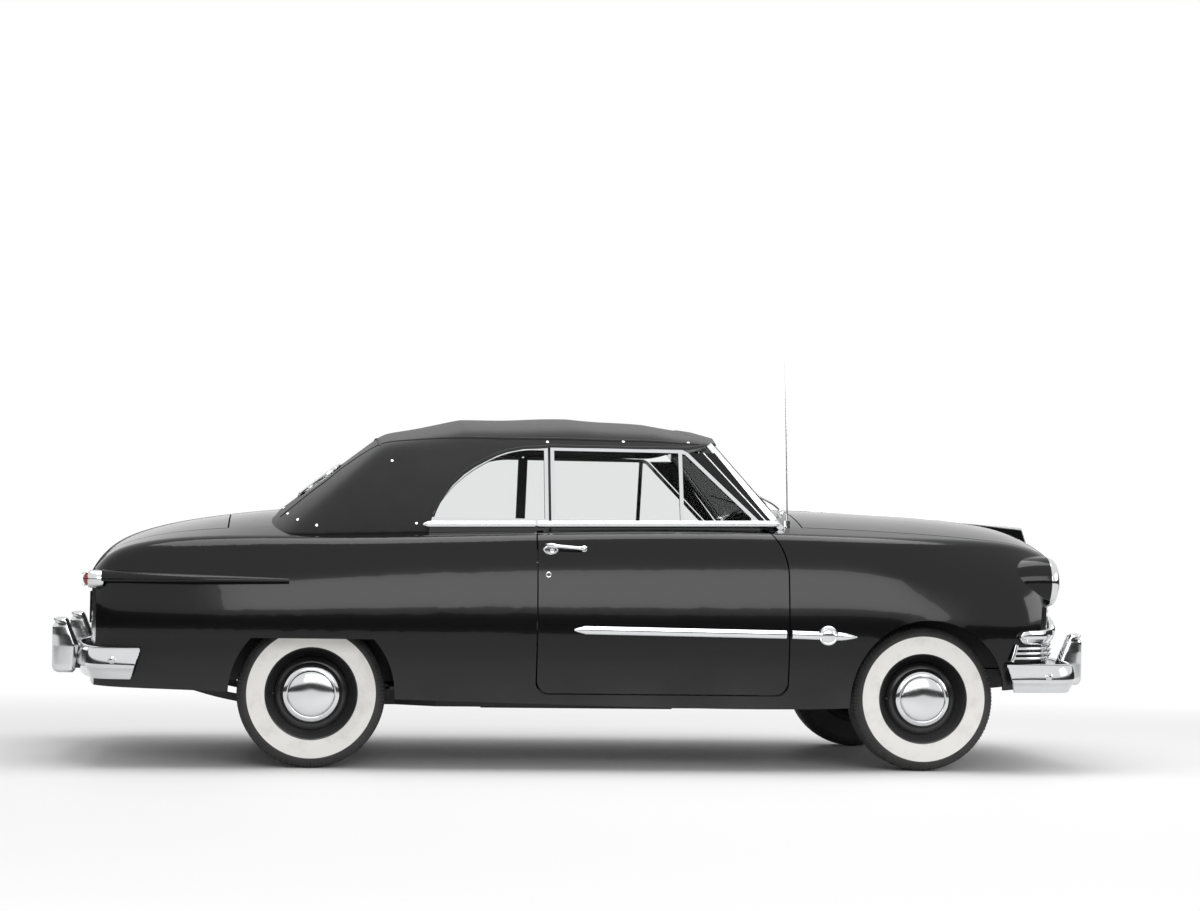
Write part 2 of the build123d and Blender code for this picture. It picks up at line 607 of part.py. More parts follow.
def build_windshield():
    """Two flat panes that meet in a shallow V, in one chrome frame with a centre bar."""
    foot = Vector(985, 0, 1252)
    up = Vector(-311, 0, 342).normalized()
    out = Vector(-83, -600, -56) * (1 / 600)

    def face_of(points):
        return Face(Wire.make_polygon([foot + up * a + out * b for a, b in points], close=True))

    normal = up.cross(out).normalized()

    def slab(points, thickness):
        face = face_of(points)
        return Solid.extrude(face.moved(Location(normal * (-thickness / 2))), normal * thickness)

    frame_t, glass_t = 26.0, 5.0
    outline = [(-60, -1), (-60, 745), (0, 745), (465, 640), (470, 632), (447, -1)]
    pane = [(24, 10), (24, 700), (30, 703), (442, 607), (424, 10)]
    frame = slab(outline, frame_t) - slab(pane, 80)
    frame = frame + left_of(frame) - body_form(-1)
    glass = slab([(26, 12), (26, 698), (31, 700), (440, 605), (422, 12)], glass_t)
    PARTS["windshield_frame"] = frame
    PARTS["windshield_glass"] = both(glass)
    front_cut = Solid.extrude(
        face_of([(-300, 1500), (900, 1500), (900, -1), (-300, -1)]).moved(Location(normal * -14)), Vector(900, 0, 0)
    )
    return front_cut + left_of(front_cut)


def top_form(inset):
    """The tunnel that the fabric top makes, moved in by inset and cut by its sloping rear."""
    wires = []
    for x, low_half, high_half, crown_z, edge_z, r in TOP_SECTIONS:
        low, high = Vector(low_half, TOP_LOW_Z), Vector(high_half, TOP_HIGH_Z)
        chord = high - low
        reach = math.sqrt(TOP_SIDE_R**2 - (chord.length / 2) ** 2)
        inward = Vector(-chord.Y, chord.X).normalized()
        centre = (low + high) * 0.5 + inward * reach
        crown_c, crown_r = crown_circle(crown_z, edge_z, TOP_EDGE_Y)
        wires.append(
            arc_section(x, TOP_LOW_Z - 80, (centre.X, centre.Y), TOP_SIDE_R, crown_c, crown_r, r, inset)
        )
    back = TOP_REAR_X + inset * 1.2
    side = 830 - inset
    outline = [
        ThreePointArc((back + 22, -400), (back, 0), (back + 22, 400)),
        ThreePointArc((back + 22, 400), (back + 120, side - 150), (back + 400, side)),
        Line((back + 400, side), (2600, side)),
        Line((2600, side), (2600, -side)),
        Line((2600, -side), (back + 400, -side)),
        ThreePointArc((back + 400, -side), (back + 120, 150 - side), (back + 22, -400)),
    ]
    face = make_face(Curve() + outline).face().moved(Location((0, 0, TOP_LOW_Z)))
    rise = 700.0
    start = Vector(-130 / TOP_REAR_SLOPE, 0, -130)
    slope = Solid.extrude(face.moved(Location(start)), Vector(rise / TOP_REAR_SLOPE, 0, rise))
    return Solid.make_loft(wires) & slope


def build_top(outer, window_cut, front_cut):
    """The fabric top as one shell, its steel frame below it and its rear window."""
    shell = top_form(0) - top_form(TOP_T)
    shell = shell - outer - window_cut - left_of(window_cut) - front_cut
    window = Solid.extrude(
        Plane(origin=(-1255, 0, 1350), x_dir=(0, 1, 0), z_dir=(-0.61, 0, 0.79))
        * RectangleRounded(760, 230, 60).face(),
        Vector(-200, 0, 260),
    )
    reach = Pos(-60, 0, -78) * window
    window = window + reach
    lining = top_form(TOP_T) - top_form(TOP_T + BOW_T)
    bows = [box((x - BOW_HALF_W, x + BOW_HALF_W), (-800, 800), (1520, 1800)) for x in BOW_XS]
    side_rail = side_polygon([(-700, 1520), (-700, 1570), (400, 1570), (400, 1520)], -800, -560)
    ribs = bows[0] + bows[1] + bows[2] + bows[3] + side_rail + left_of(side_rail)
    PARTS["top_frame"] = lining & ribs
    PARTS["rear_window"] = (top_form(3) - top_form(TOP_T - 3)) & window
    PARTS["top_cover"] = shell - window


def wheel_profile():
    """The rim, dished disc, hub, brake drum and hub cap as one closed outline of radius and offset.

    The offset is along the axle, with the outer face towards minus.
    """
    rim = [
        (212, -72), (205.5, -66), (205.5, -44), (182, -34), (182, 34), (205.5, 44), (205.5, 66), (212, 72),
        (207, 76), (200, 70), (200, 47), (177, 38), (177, -38), (200, -47), (200, -70), (207, -76),
    ]
    disc = [(180, -20), (180, -8), (168, -12), (150, -38), (52, -40), (20, -40), (20, -52), (150, -50), (166, -28)]
    hub = [(SPINDLE_R + RUNNING_GAP, -30), (46, -30), (46, 60), (SPINDLE_R + RUNNING_GAP, 60)]
    drum_part = [(40, 6), (142, 6), (142, 62), (135, 62), (135, 14), (40, 14)]
    plate = [(SPINDLE_R + RUNNING_GAP, -41), (60, -41), (60, -28), (SPINDLE_R + RUNNING_GAP, -28)]
    return [rim, disc, hub, drum_part, plate]


def build_wheels():
    """Four tyres and four wheels, each turning on its axle line."""
    wheel = None
    for outline in wheel_profile():
        piece = ring_of(outline, Axis.Y)
        wheel = piece if wheel is None else wheel + piece
    cap = revolve(
        make_face(Curve() + [
            Line((0, -51), (128, -51)),
            Line((128, -51), (131, -58)),
            ThreePointArc(*[(off, along) for along, off in dome(-58, 131, -88)]),
            Line((0, -88), (0, -51)),
        ]),
        axis=Axis.Y,
    )
    wheel = wheel + cap
    w = TYRE_HALF_W
    tyre = revolve(
        make_face(Curve() + [
            ThreePointArc((206, -66), (272, -w), (324, -74)),
            ThreePointArc((324, -74), (334, -69), (338, -60)),
            ThreePointArc((338, -60), (TYRE_R, 0), (338, 60)),
            ThreePointArc((338, 60), (334, 69), (324, 74)),
            ThreePointArc((324, 74), (272, w), (206, 66)),
            Line((206, 66), (206, 48)),
            ThreePointArc((206, 48), (268, 74), (318, 58)),
            ThreePointArc((318, 58), (329, 0), (318, -58)),
            ThreePointArc((318, -58), (268, -74), (206, -48)),
            Line((206, -48), (206, -66)),
        ]),
        axis=Axis.Y,
    )
    for end, x in (("front", FRONT_AXLE_X), ("rear", REAR_AXLE_X)):
        place = Pos(x, -TRACK_HALF, AXLE_Z)
        PARTS[f"wheel_{end}_right"] = place * wheel
        PARTS[f"tyre_{end}_right"] = place * tyre


def build_running_gear():
    """Front suspension and knuckles, rear axle with its springs and shaft, engine, exhaust and tank."""
    x, y, z = FRONT_AXLE_X, -KINGPIN_Y, AXLE_Z
    spindle = rod((x, y, z), (x, -TRACK_HALF - 38, z), SPINDLE_R)
    plate = drum(x, -TRACK_HALF + 68, z, 146, 6)
    boss = Pos(x, y, z) * Cylinder(32, 150)
    arm = box((x - 150, x), (y + 10, y + 30), (z - 60, z - 40)) + box((x - 162, x - 138), (y + 8, y + 32), (z - 62, z - 38))
    PARTS["knuckle_right"] = spindle + plate + boss + arm - Pos(x, y, z) * Cylinder(KINGPIN_R + RUNNING_GAP, 400)

    kingpin = Pos(x, y, z) * Cylinder(KINGPIN_R, 230)
    low_z, high_z = z - 100, z + 100
    gear = kingpin
    for level, rail_z, r in ((low_z, z - 85, 17), (high_z, z + 92, 14)):
        eye = Pos(x, y, level) * Cylinder(28, 28)
        gear = gear + eye
        for spread in (-110, 110):
            gear = gear + rod((x + spread, -425, rail_z), (x, y, level), r)
    member = box((x - 75, x + 75), (-440, 440), (z - 130, z - 38))
    tower = box((x - 130, x + 130), (-440, -403), (z - 110, z + 115))
    coil = Pos(x, -482, z + 10) * Cylinder(42, 170)
    PARTS["front_suspension"] = gear + left_of(gear) + member + tower + left_of(tower) + coil + left_of(coil)

    rx = REAR_AXLE_X
    tube = rod((rx, -TRACK_HALF + 66, z), (rx, TRACK_HALF - 66, z), 42)
    stub = rod((rx, -TRACK_HALF - 38, z), (rx, TRACK_HALF + 38, z), SPINDLE_R)
    banjo = Pos(rx, 0, z) * Sphere(125)
    backing = drum(rx, -TRACK_HALF + 68, z, 146, 6)
    shaft = rod((rx + 100, 0, z), (638, 0, 385), 38)
    back, front = rx - 640, rx + 400
    spring_side = side_slab(
        [
            ThreePointArc((back, 0, 372), (rx, 0, 268), (front, 0, 342)),
            Line((front, 0, 342), (front, 0, 364)),
            ThreePointArc((front, 0, 364), (rx, 0, 303), (back, 0, 394)),
            Line((back, 0, 394), (back, 0, 372)),
        ],
        -536, -478,
    )
    for hanger_x, hanger_z in ((front - 50, 337), (back + 25, 403)):
        spring_side = spring_side + box(
            (hanger_x - 25, hanger_x + 25), (-500, -457), (hanger_z - 27, hanger_z + 27)
        )
    PARTS["rear_axle"] = tube + stub + banjo + backing + left_of(backing) + shaft
    PARTS["rear_axle"] = PARTS["rear_axle"] + spring_side + left_of(spring_side)

    block = box((1130, 1760), (-240, 240), (AXLE_Z - 38, 900))
    gearbox = rod((1140, 0, 400), (640, 0, 385), 90)
    PARTS["engine"] = block + gearbox
    PARTS["radiator"] = box((2030, 2090), (-340, 340), (430, 960))

    pipe_route = FilletPolyline(
        (1230, 268, 360), (1040, 268, 262), (-930, 268, 262), (-1130, 268, 450), (-1460, 268, 450),
        (-1700, 350, 345), (-2330, 350, 345),
        radius=[150, 150, 150, 150, 150],
    )
    section = Plane(origin=pipe_route @ 0, z_dir=pipe_route % 0) * Circle(25)
    silencer = rod((560, 268, 262), (-420, 268, 262), 48)
    PARTS["exhaust"] = swept(section.face(), pipe_route) + silencer
    PARTS["fuel_tank"] = fillet(box((-2230, -1760), (-396, 310), (345, 480)).edges().filter_by(Axis.Y), 30)


def rail(inner_ys, side_points, width):
    """A frame rail: a plan strip of even width crossed with a side outline."""
    plan = [(px, -py - width) for px, py in inner_ys] + [(px, -py) for px, py in reversed(inner_ys)]
    strip = Solid.extrude(make_face(Polyline(*plan, close=True)).face(), Vector(0, 0, 1000))
    return strip & side_polygon(side_points, -900, 900)


def build_chassis(inner):
    """Frame rails and cross members, floors, wheelhouses, aprons and the firewall."""
    top = [
        (2180, 470), (1900, 470), (1250, 440), (1000, 355), (-1006, 355), (-1142, 520), (-1430, 520),
        (-1560, 500), (-2290, 500),
    ]
    low = [
        (-2290, 400), (-1750, 400), (-1500, 430), (-1130, 430), (-960, 275), (1020, 275), (1260, 330),
        (1900, 360), (2180, 390),
    ]
    width = 56
    right = rail(
        [(2180, 345), (1180, 345), (860, 520), (-700, 520), (-890, 400), (-2290, 400)], top + low, width
    )
    PARTS["frame_rails"] = both(right)
    members = box((2100, 2160), (-344, 344), (395, 460))
    for x in DIPPED_MEMBER_XS:
        members = members + box(x, (-519, 519), (318, 346)) + box(x, (-146, 146), (262, 346))
        members = members - box(x, (-118, 118), (286, 350))
    members = members + box((-1700, -1620), (-399, 399), (484, 494))
    members = members + box((-2285, -2240), (-399, 399), (405, 480))
    PARTS["cross_members"] = members

    t = FLOOR_T
    tunnel = Pos(-27, 0, 366) * Rot(0, 90, 0) * Cylinder(142, 1914)
    bore = Pos(0, 0, 366) * Rot(0, 90, 0) * Cylinder(142 - t, 2200)
    plate = box((-925, 930), (-785, 785), (FLOOR_TOP_Z - t, FLOOR_TOP_Z))
    plate = plate + box((-985, -900), (-552, 552), (FLOOR_TOP_Z - t, FLOOR_TOP_Z))
    tunnel = tunnel - box((-1200, 1200), (-200, 200), (0, FLOOR_TOP_Z - t))
    rise = side_polygon(
        [(-980, FLOOR_TOP_Z - t), (-1066, 545 + t), (-1476, 545 + t), (-1556, 512 + t), (-2275, 512 + t),
         (-2275, 512), (-1560, 512), (-1480, 545), (-1074, 545), (-994, FLOOR_TOP_Z - t)],
        -552, 552,
    )
    PARTS["floor_pan"] = plate + tunnel + rise - bore
    PARTS["firewall"] = (box((932, 944), (-900, 900), (FLOOR_TOP_Z, 1300)) & inner) - bore

    shell_r = 405.0
    house = drum(REAR_AXLE_X, -730, AXLE_Z, shell_r, 356) - drum(REAR_AXLE_X, -736, AXLE_Z, shell_r - 10, 356)
    house = house & box((-2000, 0), (-1000, -500), (AXLE_Z + 48, 900)) & inner
    apron = (box((950, 2250), (-412, -404), (478, 1040)) & inner)
    PARTS["inner_fenders"] = Compound(children=list(both(house).solids()) + list(both(apron).solids()))


def build_cabin(inner):
    """Dashboard, steering column and wheel, and the seats."""
    dash = side_slab(
        [
            Line((600, 0, 905), (640, 0, 890)),
            Line((640, 0, 890), (925, 0, 960)),
            Line((925, 0, 960), (925, 0, 1110)),
            Line((925, 0, 1110), (860, 0, 1150)),
            ThreePointArc((860, 0, 1150), (700, 0, 1148), (622, 0, 1105)),
            ThreePointArc((622, 0, 1105), (590, 0, 1010), (600, 0, 905)),
        ],
        -686, 686,
    )
    PARTS["dashboard"] = dash & inner
    hub = Vector(*STEERING_HUB)
    along = Vector(math.cos(COLUMN_TILT), 0, -math.sin(COLUMN_TILT))
    foot = hub + along * ((918 - hub.X) / along.X)
    start = hub + along * 30
    PARTS["steering_column"] = rod((start.X, start.Y, start.Z), (foot.X, foot.Y, foot.Z), 24)
    PARTS["dashboard"] = PARTS["dashboard"] - rod((start.X, start.Y, start.Z), (foot.X, foot.Y, foot.Z), 26)
    plane = Plane(origin=hub, x_dir=(0, 1, 0), z_dir=along * -1)
    wheel = Torus(215, 11) + Pos(0, 0, -8) * Cylinder(34, 40)
    for turn in (0, 120, 240):
        wheel = wheel + Rot(0, 0, 90 + turn) * Pos(108, 0, -4) * Box(214, 26, 8)
    PARTS["steering_wheel"] = plane * wheel

    tunnel = Pos(0, 0, 366) * Rot(0, 90, 0) * Cylinder(143, 2200)
    front_cushion = side_slab(
        [
            Line((-440, 0, 379), (60, 0, 379)),
            ThreePointArc((60, 0, 379), (150, 0, 560), (90, 0, 655)),
            ThreePointArc((90, 0, 655), (-160, 0, 660), (-440, 0, 610)),
            Line((-440, 0, 610), (-440, 0, 379)),
        ],
        -690, 690,
    )
    PARTS["front_seat_cushion"] = front_cushion - tunnel
    PARTS["front_seat_back"] = side_slab(
        [
            Line((-443, 0, 560), (-443, 0, 640)),
            ThreePointArc((-443, 0, 640), (-470, 0, 860), (-560, 0, 1090)),
            ThreePointArc((-560, 0, 1090), (-600, 0, 1112), (-645, 0, 1090)),
            Line((-645, 0, 1090), (-570, 0, 560)),
            Line((-570, 0, 560), (-443, 0, 560)),
        ],
        -690, 690,
    )
    rear_cushion = side_slab(
        [
            Line((-1235, 0, 560), (-1056, 0, 560)),
            Line((-1056, 0, 560), (-972, 0, 400)),
            Line((-972, 0, 400), (-800, 0, 420)),
            ThreePointArc((-800, 0, 420), (-752, 0, 560), (-800, 0, 645)),
            ThreePointArc((-800, 0, 645), (-1000, 0, 655), (-1235, 0, 610)),
            Line((-1235, 0, 610), (-1235, 0, 560)),
        ],
        -545, 545,
    )
    PARTS["rear_seat_cushion"] = rear_cushion - tunnel
    PARTS["rear_seat_back"] = side_slab(
        [
            Line((-1238, 0, 560), (-1238, 0, 640)),
            ThreePointArc((-1238, 0, 640), (-1262, 0, 850), (-1330, 0, 1040)),
            Line((-1330, 0, 1040), (-1400, 0, 1050)),
            Line((-1400, 0, 1050), (-1330, 0, 560)),
            Line((-1330, 0, 560), (-1238, 0, 560)),
        ],
        -545, 545,
    )


def build_details():
    """Hood ornament and aerial."""
    blade = side_polygon([(1960, 1100), (1960, 1192), (2322, 1166), (2355, 1066), (2355, 1040)], -5, 5)
    edge = rod((1960, 0, 1192), (2322, 0, 1166), ORNAMENT_EDGE_R) + rod((2322, 0, 1166), (2355, 0, 1066), ORNAMENT_EDGE_R)
    PARTS["hood_ornament"] = (blade + edge + Pos(2322, 0, 1166) * Sphere(ORNAMENT_EDGE_R)) - body_form(-0.5)
    base_z = 1150.0
    foot = Pos(957, -690, base_z) * Cylinder(16, 60) - body_form(-0.5)
    PARTS["aerial"] = foot + rod((957, -690, base_z + 20), (938, -690, 1945), 3)


def main():
    os.makedirs("parts", exist_ok=True)
    outer, inner = build_body()
    build_lamps_and_rear_rib(inner)
    build_bumpers()
    build_grille()
    window_cut = build_windows()
    front_cut = build_windshield()
    build_top(outer, window_cut, front_cut)
    build_wheels()
    build_running_gear()
    build_chassis(inner)
    build_cabin(inner)
    build_details()
    for name in [name for name in PARTS if name.endswith("_right")]:
        PARTS[name[:-5] + "left"] = left_of(PARTS[name])
    for name, piece in PARTS.items():
        export_step(piece, f"parts/{name}.step")


if __name__ == "__main__":
    main()
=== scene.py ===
import json
import math

import bmesh
import bpy
import numpy as np
from mathutils import Matrix, Vector
from mathutils.bvhtree import BVHTree


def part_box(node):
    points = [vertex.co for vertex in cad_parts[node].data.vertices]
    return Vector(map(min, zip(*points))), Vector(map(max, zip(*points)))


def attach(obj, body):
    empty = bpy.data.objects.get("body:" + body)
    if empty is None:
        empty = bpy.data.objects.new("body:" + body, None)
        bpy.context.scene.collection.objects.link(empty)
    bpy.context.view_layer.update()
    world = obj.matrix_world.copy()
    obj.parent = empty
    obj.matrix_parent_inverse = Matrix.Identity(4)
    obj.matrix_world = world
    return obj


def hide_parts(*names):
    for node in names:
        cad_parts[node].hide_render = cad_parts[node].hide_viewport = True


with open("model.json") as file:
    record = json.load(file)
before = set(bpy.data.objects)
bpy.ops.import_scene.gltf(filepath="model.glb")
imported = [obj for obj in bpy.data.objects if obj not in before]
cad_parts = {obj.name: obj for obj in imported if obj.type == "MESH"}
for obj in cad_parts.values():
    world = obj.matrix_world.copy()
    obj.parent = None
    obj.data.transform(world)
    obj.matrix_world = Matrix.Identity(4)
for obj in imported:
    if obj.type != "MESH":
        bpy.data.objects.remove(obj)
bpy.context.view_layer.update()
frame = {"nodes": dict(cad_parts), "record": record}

NODES = frame["nodes"]
TAU = 2 * math.pi
AHEAD, BACK, RIGHT, INWARD, UP = (1, 0, 0), (-1, 0, 0), (0, -1, 0), (0, 1, 0), (0, 0, 1)

# Where the wheels stand, from the frame, in metres
FRONT_X, REAR_X = (sum(corner.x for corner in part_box(f"tyre_{end}_right")) / 2 for end in ("front", "rear"))
TRACK = -sum(corner.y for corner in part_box("tyre_front_right")) / 2
TYRE_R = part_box("tyre_front_right")[1].z / 2


# Shader maths

class Value:
    """A socket that takes part in plain expressions, each of which adds its maths node."""

    def __init__(self, shader, socket):
        self.shader, self.socket = shader, socket

    def maths(self, operation, *terms):
        return self.shader.node("ShaderNodeMath", dict(enumerate(terms)), operation=operation)

    def __add__(self, other):
        return self.maths("ADD", self, other)

    def __sub__(self, other):
        return self.maths("SUBTRACT", self, other)

    def __rsub__(self, other):
        return self.maths("SUBTRACT", other, self)

    def __mul__(self, other):
        return self.maths("MULTIPLY", self, other)

    def __truediv__(self, other):
        return self.maths("DIVIDE", self, other)

    def __pow__(self, other):
        return self.maths("POWER", self, other)

    def __lt__(self, other):
        return self.maths("LESS_THAN", self, other)

    __radd__, __rmul__ = __add__, __mul__

    def sine(self):
        return self.maths("SINE", self)

    def smallest(self, other):
        return self.maths("MINIMUM", self, other)

    def biggest(self, other):
        return self.maths("MAXIMUM", self, other)


class Shader:
    """The nodes of a material or of the world, built from expressions and one general method."""

    def __init__(self, owner, surface="Principled BSDF"):
        owner.use_nodes = True
        self.owner, self.tree = owner, owner.node_tree
        self.surface = self.tree.nodes[surface]

    def put(self, socket, value):
        """Links a value to a socket, or sets the socket to a constant."""
        if isinstance(value, Value):
            self.tree.links.new(value.socket, socket)
        else:
            socket.default_value = (*value, 1) if isinstance(value, tuple) else value

    def node(self, kind, inputs=None, output=0, **settings):
        """Adds a node of a kind with its own settings, and sets or links its sockets."""
        made = self.tree.nodes.new(kind)
        for key, value in settings.items():
            setattr(made, key, value)
        for key, value in (inputs or {}).items():
            self.put(made.inputs[key], value)
        return Value(self, made.outputs[output])

    def place(self):
        """The point on the piece, in metres."""
        return self.node("ShaderNodeTexCoord", output="Object")

    def axes(self):
        """The three numbers of the point on the piece."""
        return [self.node("ShaderNodeSeparateXYZ", {0: self.place()}, axis) for axis in range(3)]

    def noise(self, scale, detail=3.0, rough=0.5):
        """Soft noise from 0 to 1."""
        return self.node("ShaderNodeTexNoise", {"Vector": self.place(), "Scale": scale, "Detail": detail,
                                                "Roughness": rough}, "Fac")

    def mix(self, factor, low, high):
        """A colour between two colours."""
        return self.node("ShaderNodeMix", {0: factor, 6: low, 7: high}, 2, data_type="RGBA")

    def seen(self):
        """1 for the rays that show a surface directly, in metal or through glass, and 0 for those that light it."""
        rays = [self.node("ShaderNodeLightPath", output=f"Is {kind} Ray") for kind in ("Camera", "Glossy",
                                                                                       "Transmission")]
        return rays[0].biggest(rays[1]).biggest(rays[2])

    def between(self, share, first, second):
        """Shows the first shader where the share is 0 and the second one where it is 1."""
        both = self.node("ShaderNodeMixShader", {0: share, 1: first, 2: second})
        self.put(self.tree.nodes["Material Output"].inputs["Surface"], both)
        return self.owner

    def bump(self, height, distance, strength=1.0):
        """Puts a height in metres into the surface's normal, and gives the finished material."""
        self.set(Normal=self.node("ShaderNodeBump", {"Height": height, "Distance": distance, "Strength": strength},
                                  "Normal"))
        return self.owner

    def set(self, **sockets):
        """Sets or links the surface's own sockets, by their names with underscores."""
        for key, value in sockets.items():
            self.put(self.surface.inputs[key.replace("_", " ")], value)


PLATE, ENAMEL = (0.72, 0.73, 0.74), (0.0045, 0.0045, 0.005)


def shader(name):
    return Shader(bpy.data.materials.new(name))


def worn(name, colour, faded, film, rough, grain, **sockets):
    """A finish whose colour and roughness drift with soft noise (film: scale, detail and roughness) under a fine
    grain (scale, detail, depth in metres and strength)."""
    s = shader(name)
    drift = s.noise(*film)
    s.set(Base_Color=s.mix(drift, colour, faded), Roughness=rough[0] + rough[1] * drift, **sockets)
    return s.bump(s.noise(*grain[:2]), *grain[2:])


def moulded(name, colour, rough=0.28):
    """Hard moulded plastic, lightly polished by hands."""
    return worn(name, colour, tuple(c * 1.3 + 0.004 for c in colour), (18, 4), (rough, 0.2), (350, 2, 0.00005, 0.3))


def satin_steel(name, colour, rough=0.5):
    """Chassis paint with road film."""
    return worn(name, colour, tuple(c + 0.035 for c in colour), (9, 5, 0.6), (rough, 0.25), (180, 3, 0.0002, 0.4))


def paint(name, colour, dust=0.06):
    """Gloss enamel: a deep colour under a clear coat, with faint orange peel and a little dust low down."""
    s = shader(name)
    film = s.noise(3, 4)
    low = ((0.55 - s.axes()[2]) * 2.2).biggest(0.0) * film
    s.set(Base_Color=s.mix(low, colour, tuple(c + dust for c in colour)), Roughness=0.10 + 0.06 * film + 0.25 * low,
          Coat_Weight=0.25, Coat_Roughness=0.02, Specular_IOR_Level=0.18)
    return s.bump(s.noise(240, 2), 0.00002, 0.2)


def frame_plate(name="window_frame_plate"):
    """The window frames: polished plate above the belt moulding's middle line, black enamel below it."""
    s = shader(name)
    x, y, z = s.axes()
    low = z < 0.0179 * x + 1.141
    s.set(Base_Color=s.mix(low, PLATE, ENAMEL), Metallic=1.0 - low, Roughness=0.06 + 0.10 * s.noise(14, 5, 0.6),
          Coat_Weight=0.25 * low)
    return s.bump(s.noise(420, 2), 0.00002, 0.25)


def clear_glass(name="window_glass"):
    """Thin clear glass that lets the far side show."""
    s = shader(name)
    s.set(Base_Color=(0.02, 0.022, 0.022), Roughness=0.02 + 0.03 * s.noise(5), Specular_IOR_Level=0.6,
          Coat_Weight=0.6, Coat_Roughness=0.02)
    share = (s.node("ShaderNodeFresnel", {"IOR": 1.5}) * 0.9 + 0.02).smallest(1.0)
    clear = s.node("ShaderNodeBsdfTransparent", {"Color": (0.985, 0.992, 0.988)})
    return s.between(share, clear, Value(s, s.surface.outputs[0]))


def whitewall(name="tyre_white"):
    """The white band of the side wall, a little scuffed."""
    s = shader(name)
    scuff = s.noise(11, 6, 0.65)
    s.set(Base_Color=s.mix((scuff - 0.5).biggest(0.0) * 1.6, (0.80, 0.79, 0.76), (0.50, 0.49, 0.46)),
          Roughness=0.5 + 0.2 * scuff)
    return s.bump(s.noise(90), 0.0002, 0.3)


def canvas(name="top_canvas"):
    """Black top cloth: a fine two-way weave, with a soft sheen and faded crowns."""
    s = shader(name)
    x, y, z = s.axes()
    threads = TAU / 0.0011
    weave = (x * threads).sine() * ((y + z) * threads).sine()
    fade = s.noise(4, 5, 0.6)
    s.set(Base_Color=s.mix(fade, (0.010, 0.010, 0.011), (0.022, 0.022, 0.023)), Roughness=0.86, Sheen_Weight=0.25,
          Sheen_Roughness=0.5, Specular_IOR_Level=0.25)
    return s.bump(weave * 0.5 + 0.5 + fade * 2.0, 0.00035, 0.7)


def leather(name="seat_leather", colour=(0.115, 0.098, 0.082)):
    """Brown seat hide: pebbled grain, soft gloss on worn crowns."""
    s = shader(name)
    grain = s.node("ShaderNodeTexVoronoi", {"Vector": s.place(), "Scale": 420.0}, "Distance",
                   feature="DISTANCE_TO_EDGE")
    wear = s.noise(6, 4)
    s.set(Base_Color=s.mix(wear, colour, tuple(c * 1.45 for c in colour)), Roughness=0.38 + 0.22 * wear)
    return s.bump(grain.smallest(0.25), 0.0009, 0.5)


def casting(name="engine_iron"):
    """Painted iron casting with sand texture and oil film."""
    s = shader(name)
    sand = s.noise(150, 4, 0.7)
    s.set(Base_Color=s.mix(s.noise(7, 4), (0.15, 0.16, 0.155), (0.03, 0.028, 0.024)), Metallic=0.3,
          Roughness=0.45 + 0.3 * sand)
    return s.bump(sand, 0.0008, 0.6)


def ribbed_glass(name, colour, pitch):
    """A moulded lens: clear or coloured glass with upright flutes in its face, and painted shade in its colour: darker
    on the flutes' ridges and in level rings.
    """
    s = shader(name)
    x, y, z = s.axes()
    flutes = ((y * (TAU / pitch)).sine() * 0.5 + 0.5) ** 0.7
    rings = (z * (TAU / (pitch * 4))).sine() * 0.5 + 0.5
    # Painted shade: the colour darkens on the flutes' ridges and in the level rings, which have no relief of their own
    s.set(Base_Color=s.mix(flutes * 0.6 + rings * 0.2, colour, tuple(c * 0.72 for c in colour)),
          Roughness=0.05 + 0.06 * s.noise(30), Transmission_Weight=0.55, IOR=1.45, Coat_Weight=0.8)
    return s.bump(flutes, 0.0012, 0.8)


def ground():
    """The studio floor: pale, and away from the car it fades to the white of the surround for the rays that see it."""
    s = shader("studio_floor")
    s.set(Base_Color=(0.78, 0.78, 0.78), Roughness=0.6, Specular_IOR_Level=0.2)
    x, y, z = s.axes()
    far = (((x * 0.62) ** 2.0 + (y * 1.05 + 0.4) ** 2.0) ** 0.5 - 1.9) / 3.6
    white = s.node("ShaderNodeEmission", {"Color": (1, 1, 1), "Strength": 1.0})
    return s.between(s.seen() * far.biggest(0.0).smallest(1.0), Value(s, s.surface.outputs[0]), white)


PAINT = paint("black_enamel", ENAMEL)
FRAMES = frame_plate()
FRAME_NODES = ("door_frame_left", "door_frame_right", "quarter_window_frames")
WHITE = whitewall()
CARPET = worn("floor_carpet", (0.055, 0.049, 0.043), (0.088, 0.0784, 0.0688), (700, 2), (0.95, 0.0),
              (700, 2, 0.002, 0.6))
IVORY = moulded("dial_ivory", (0.62, 0.58, 0.48), 0.45)
LENS = ribbed_glass("lamp_glass", (0.85, 0.87, 0.88), 0.011)
SCREEN = moulded("screen_cloth", (0.03, 0.03, 0.03), 0.9)
SLOT_FINISH = {
    "black_paint": PAINT,
    "black_steel": satin_steel("chassis_black", (0.012, 0.012, 0.012)),
    "wheel_paint": paint("wheel_enamel", (0.006, 0.006, 0.0065), 0.08),
    "chrome": worn("bright_plate", tuple(c * 0.9 for c in PLATE), PLATE, (14, 5, 0.6), (0.06, 0.10),
                   (420, 2, 0.00002, 0.25), Metallic=1.0),
    "glass": clear_glass(),
    "red_lens": ribbed_glass("tail_glass", (0.42, 0.012, 0.012), 0.006),
    "engine_iron": casting(),
    "tyre_rubber": worn("tyre_black", (0.018, 0.018, 0.019), (0.045, 0.044, 0.042), (22, 4), (0.62, 0.2),
                        (500, 2, 0.0001, 0.4)),
    "top_canvas": canvas(),
    "seat_leather": leather(),
    "wheel_plastic": moulded("wheel_plastic", (0.02, 0.019, 0.018)),
    "top_frame_steel": satin_steel("top_frame_grey", (0.05, 0.05, 0.052), 0.4),
}


# Surfaces

def grid(*coordinates):
    """Arrays of coordinates, spread to one shape, as one array of points."""
    return np.stack(np.broadcast_arrays(*coordinates), -1)


def unit(vectors):
    return vectors / np.linalg.norm(vectors, axis=-1, keepdims=True)


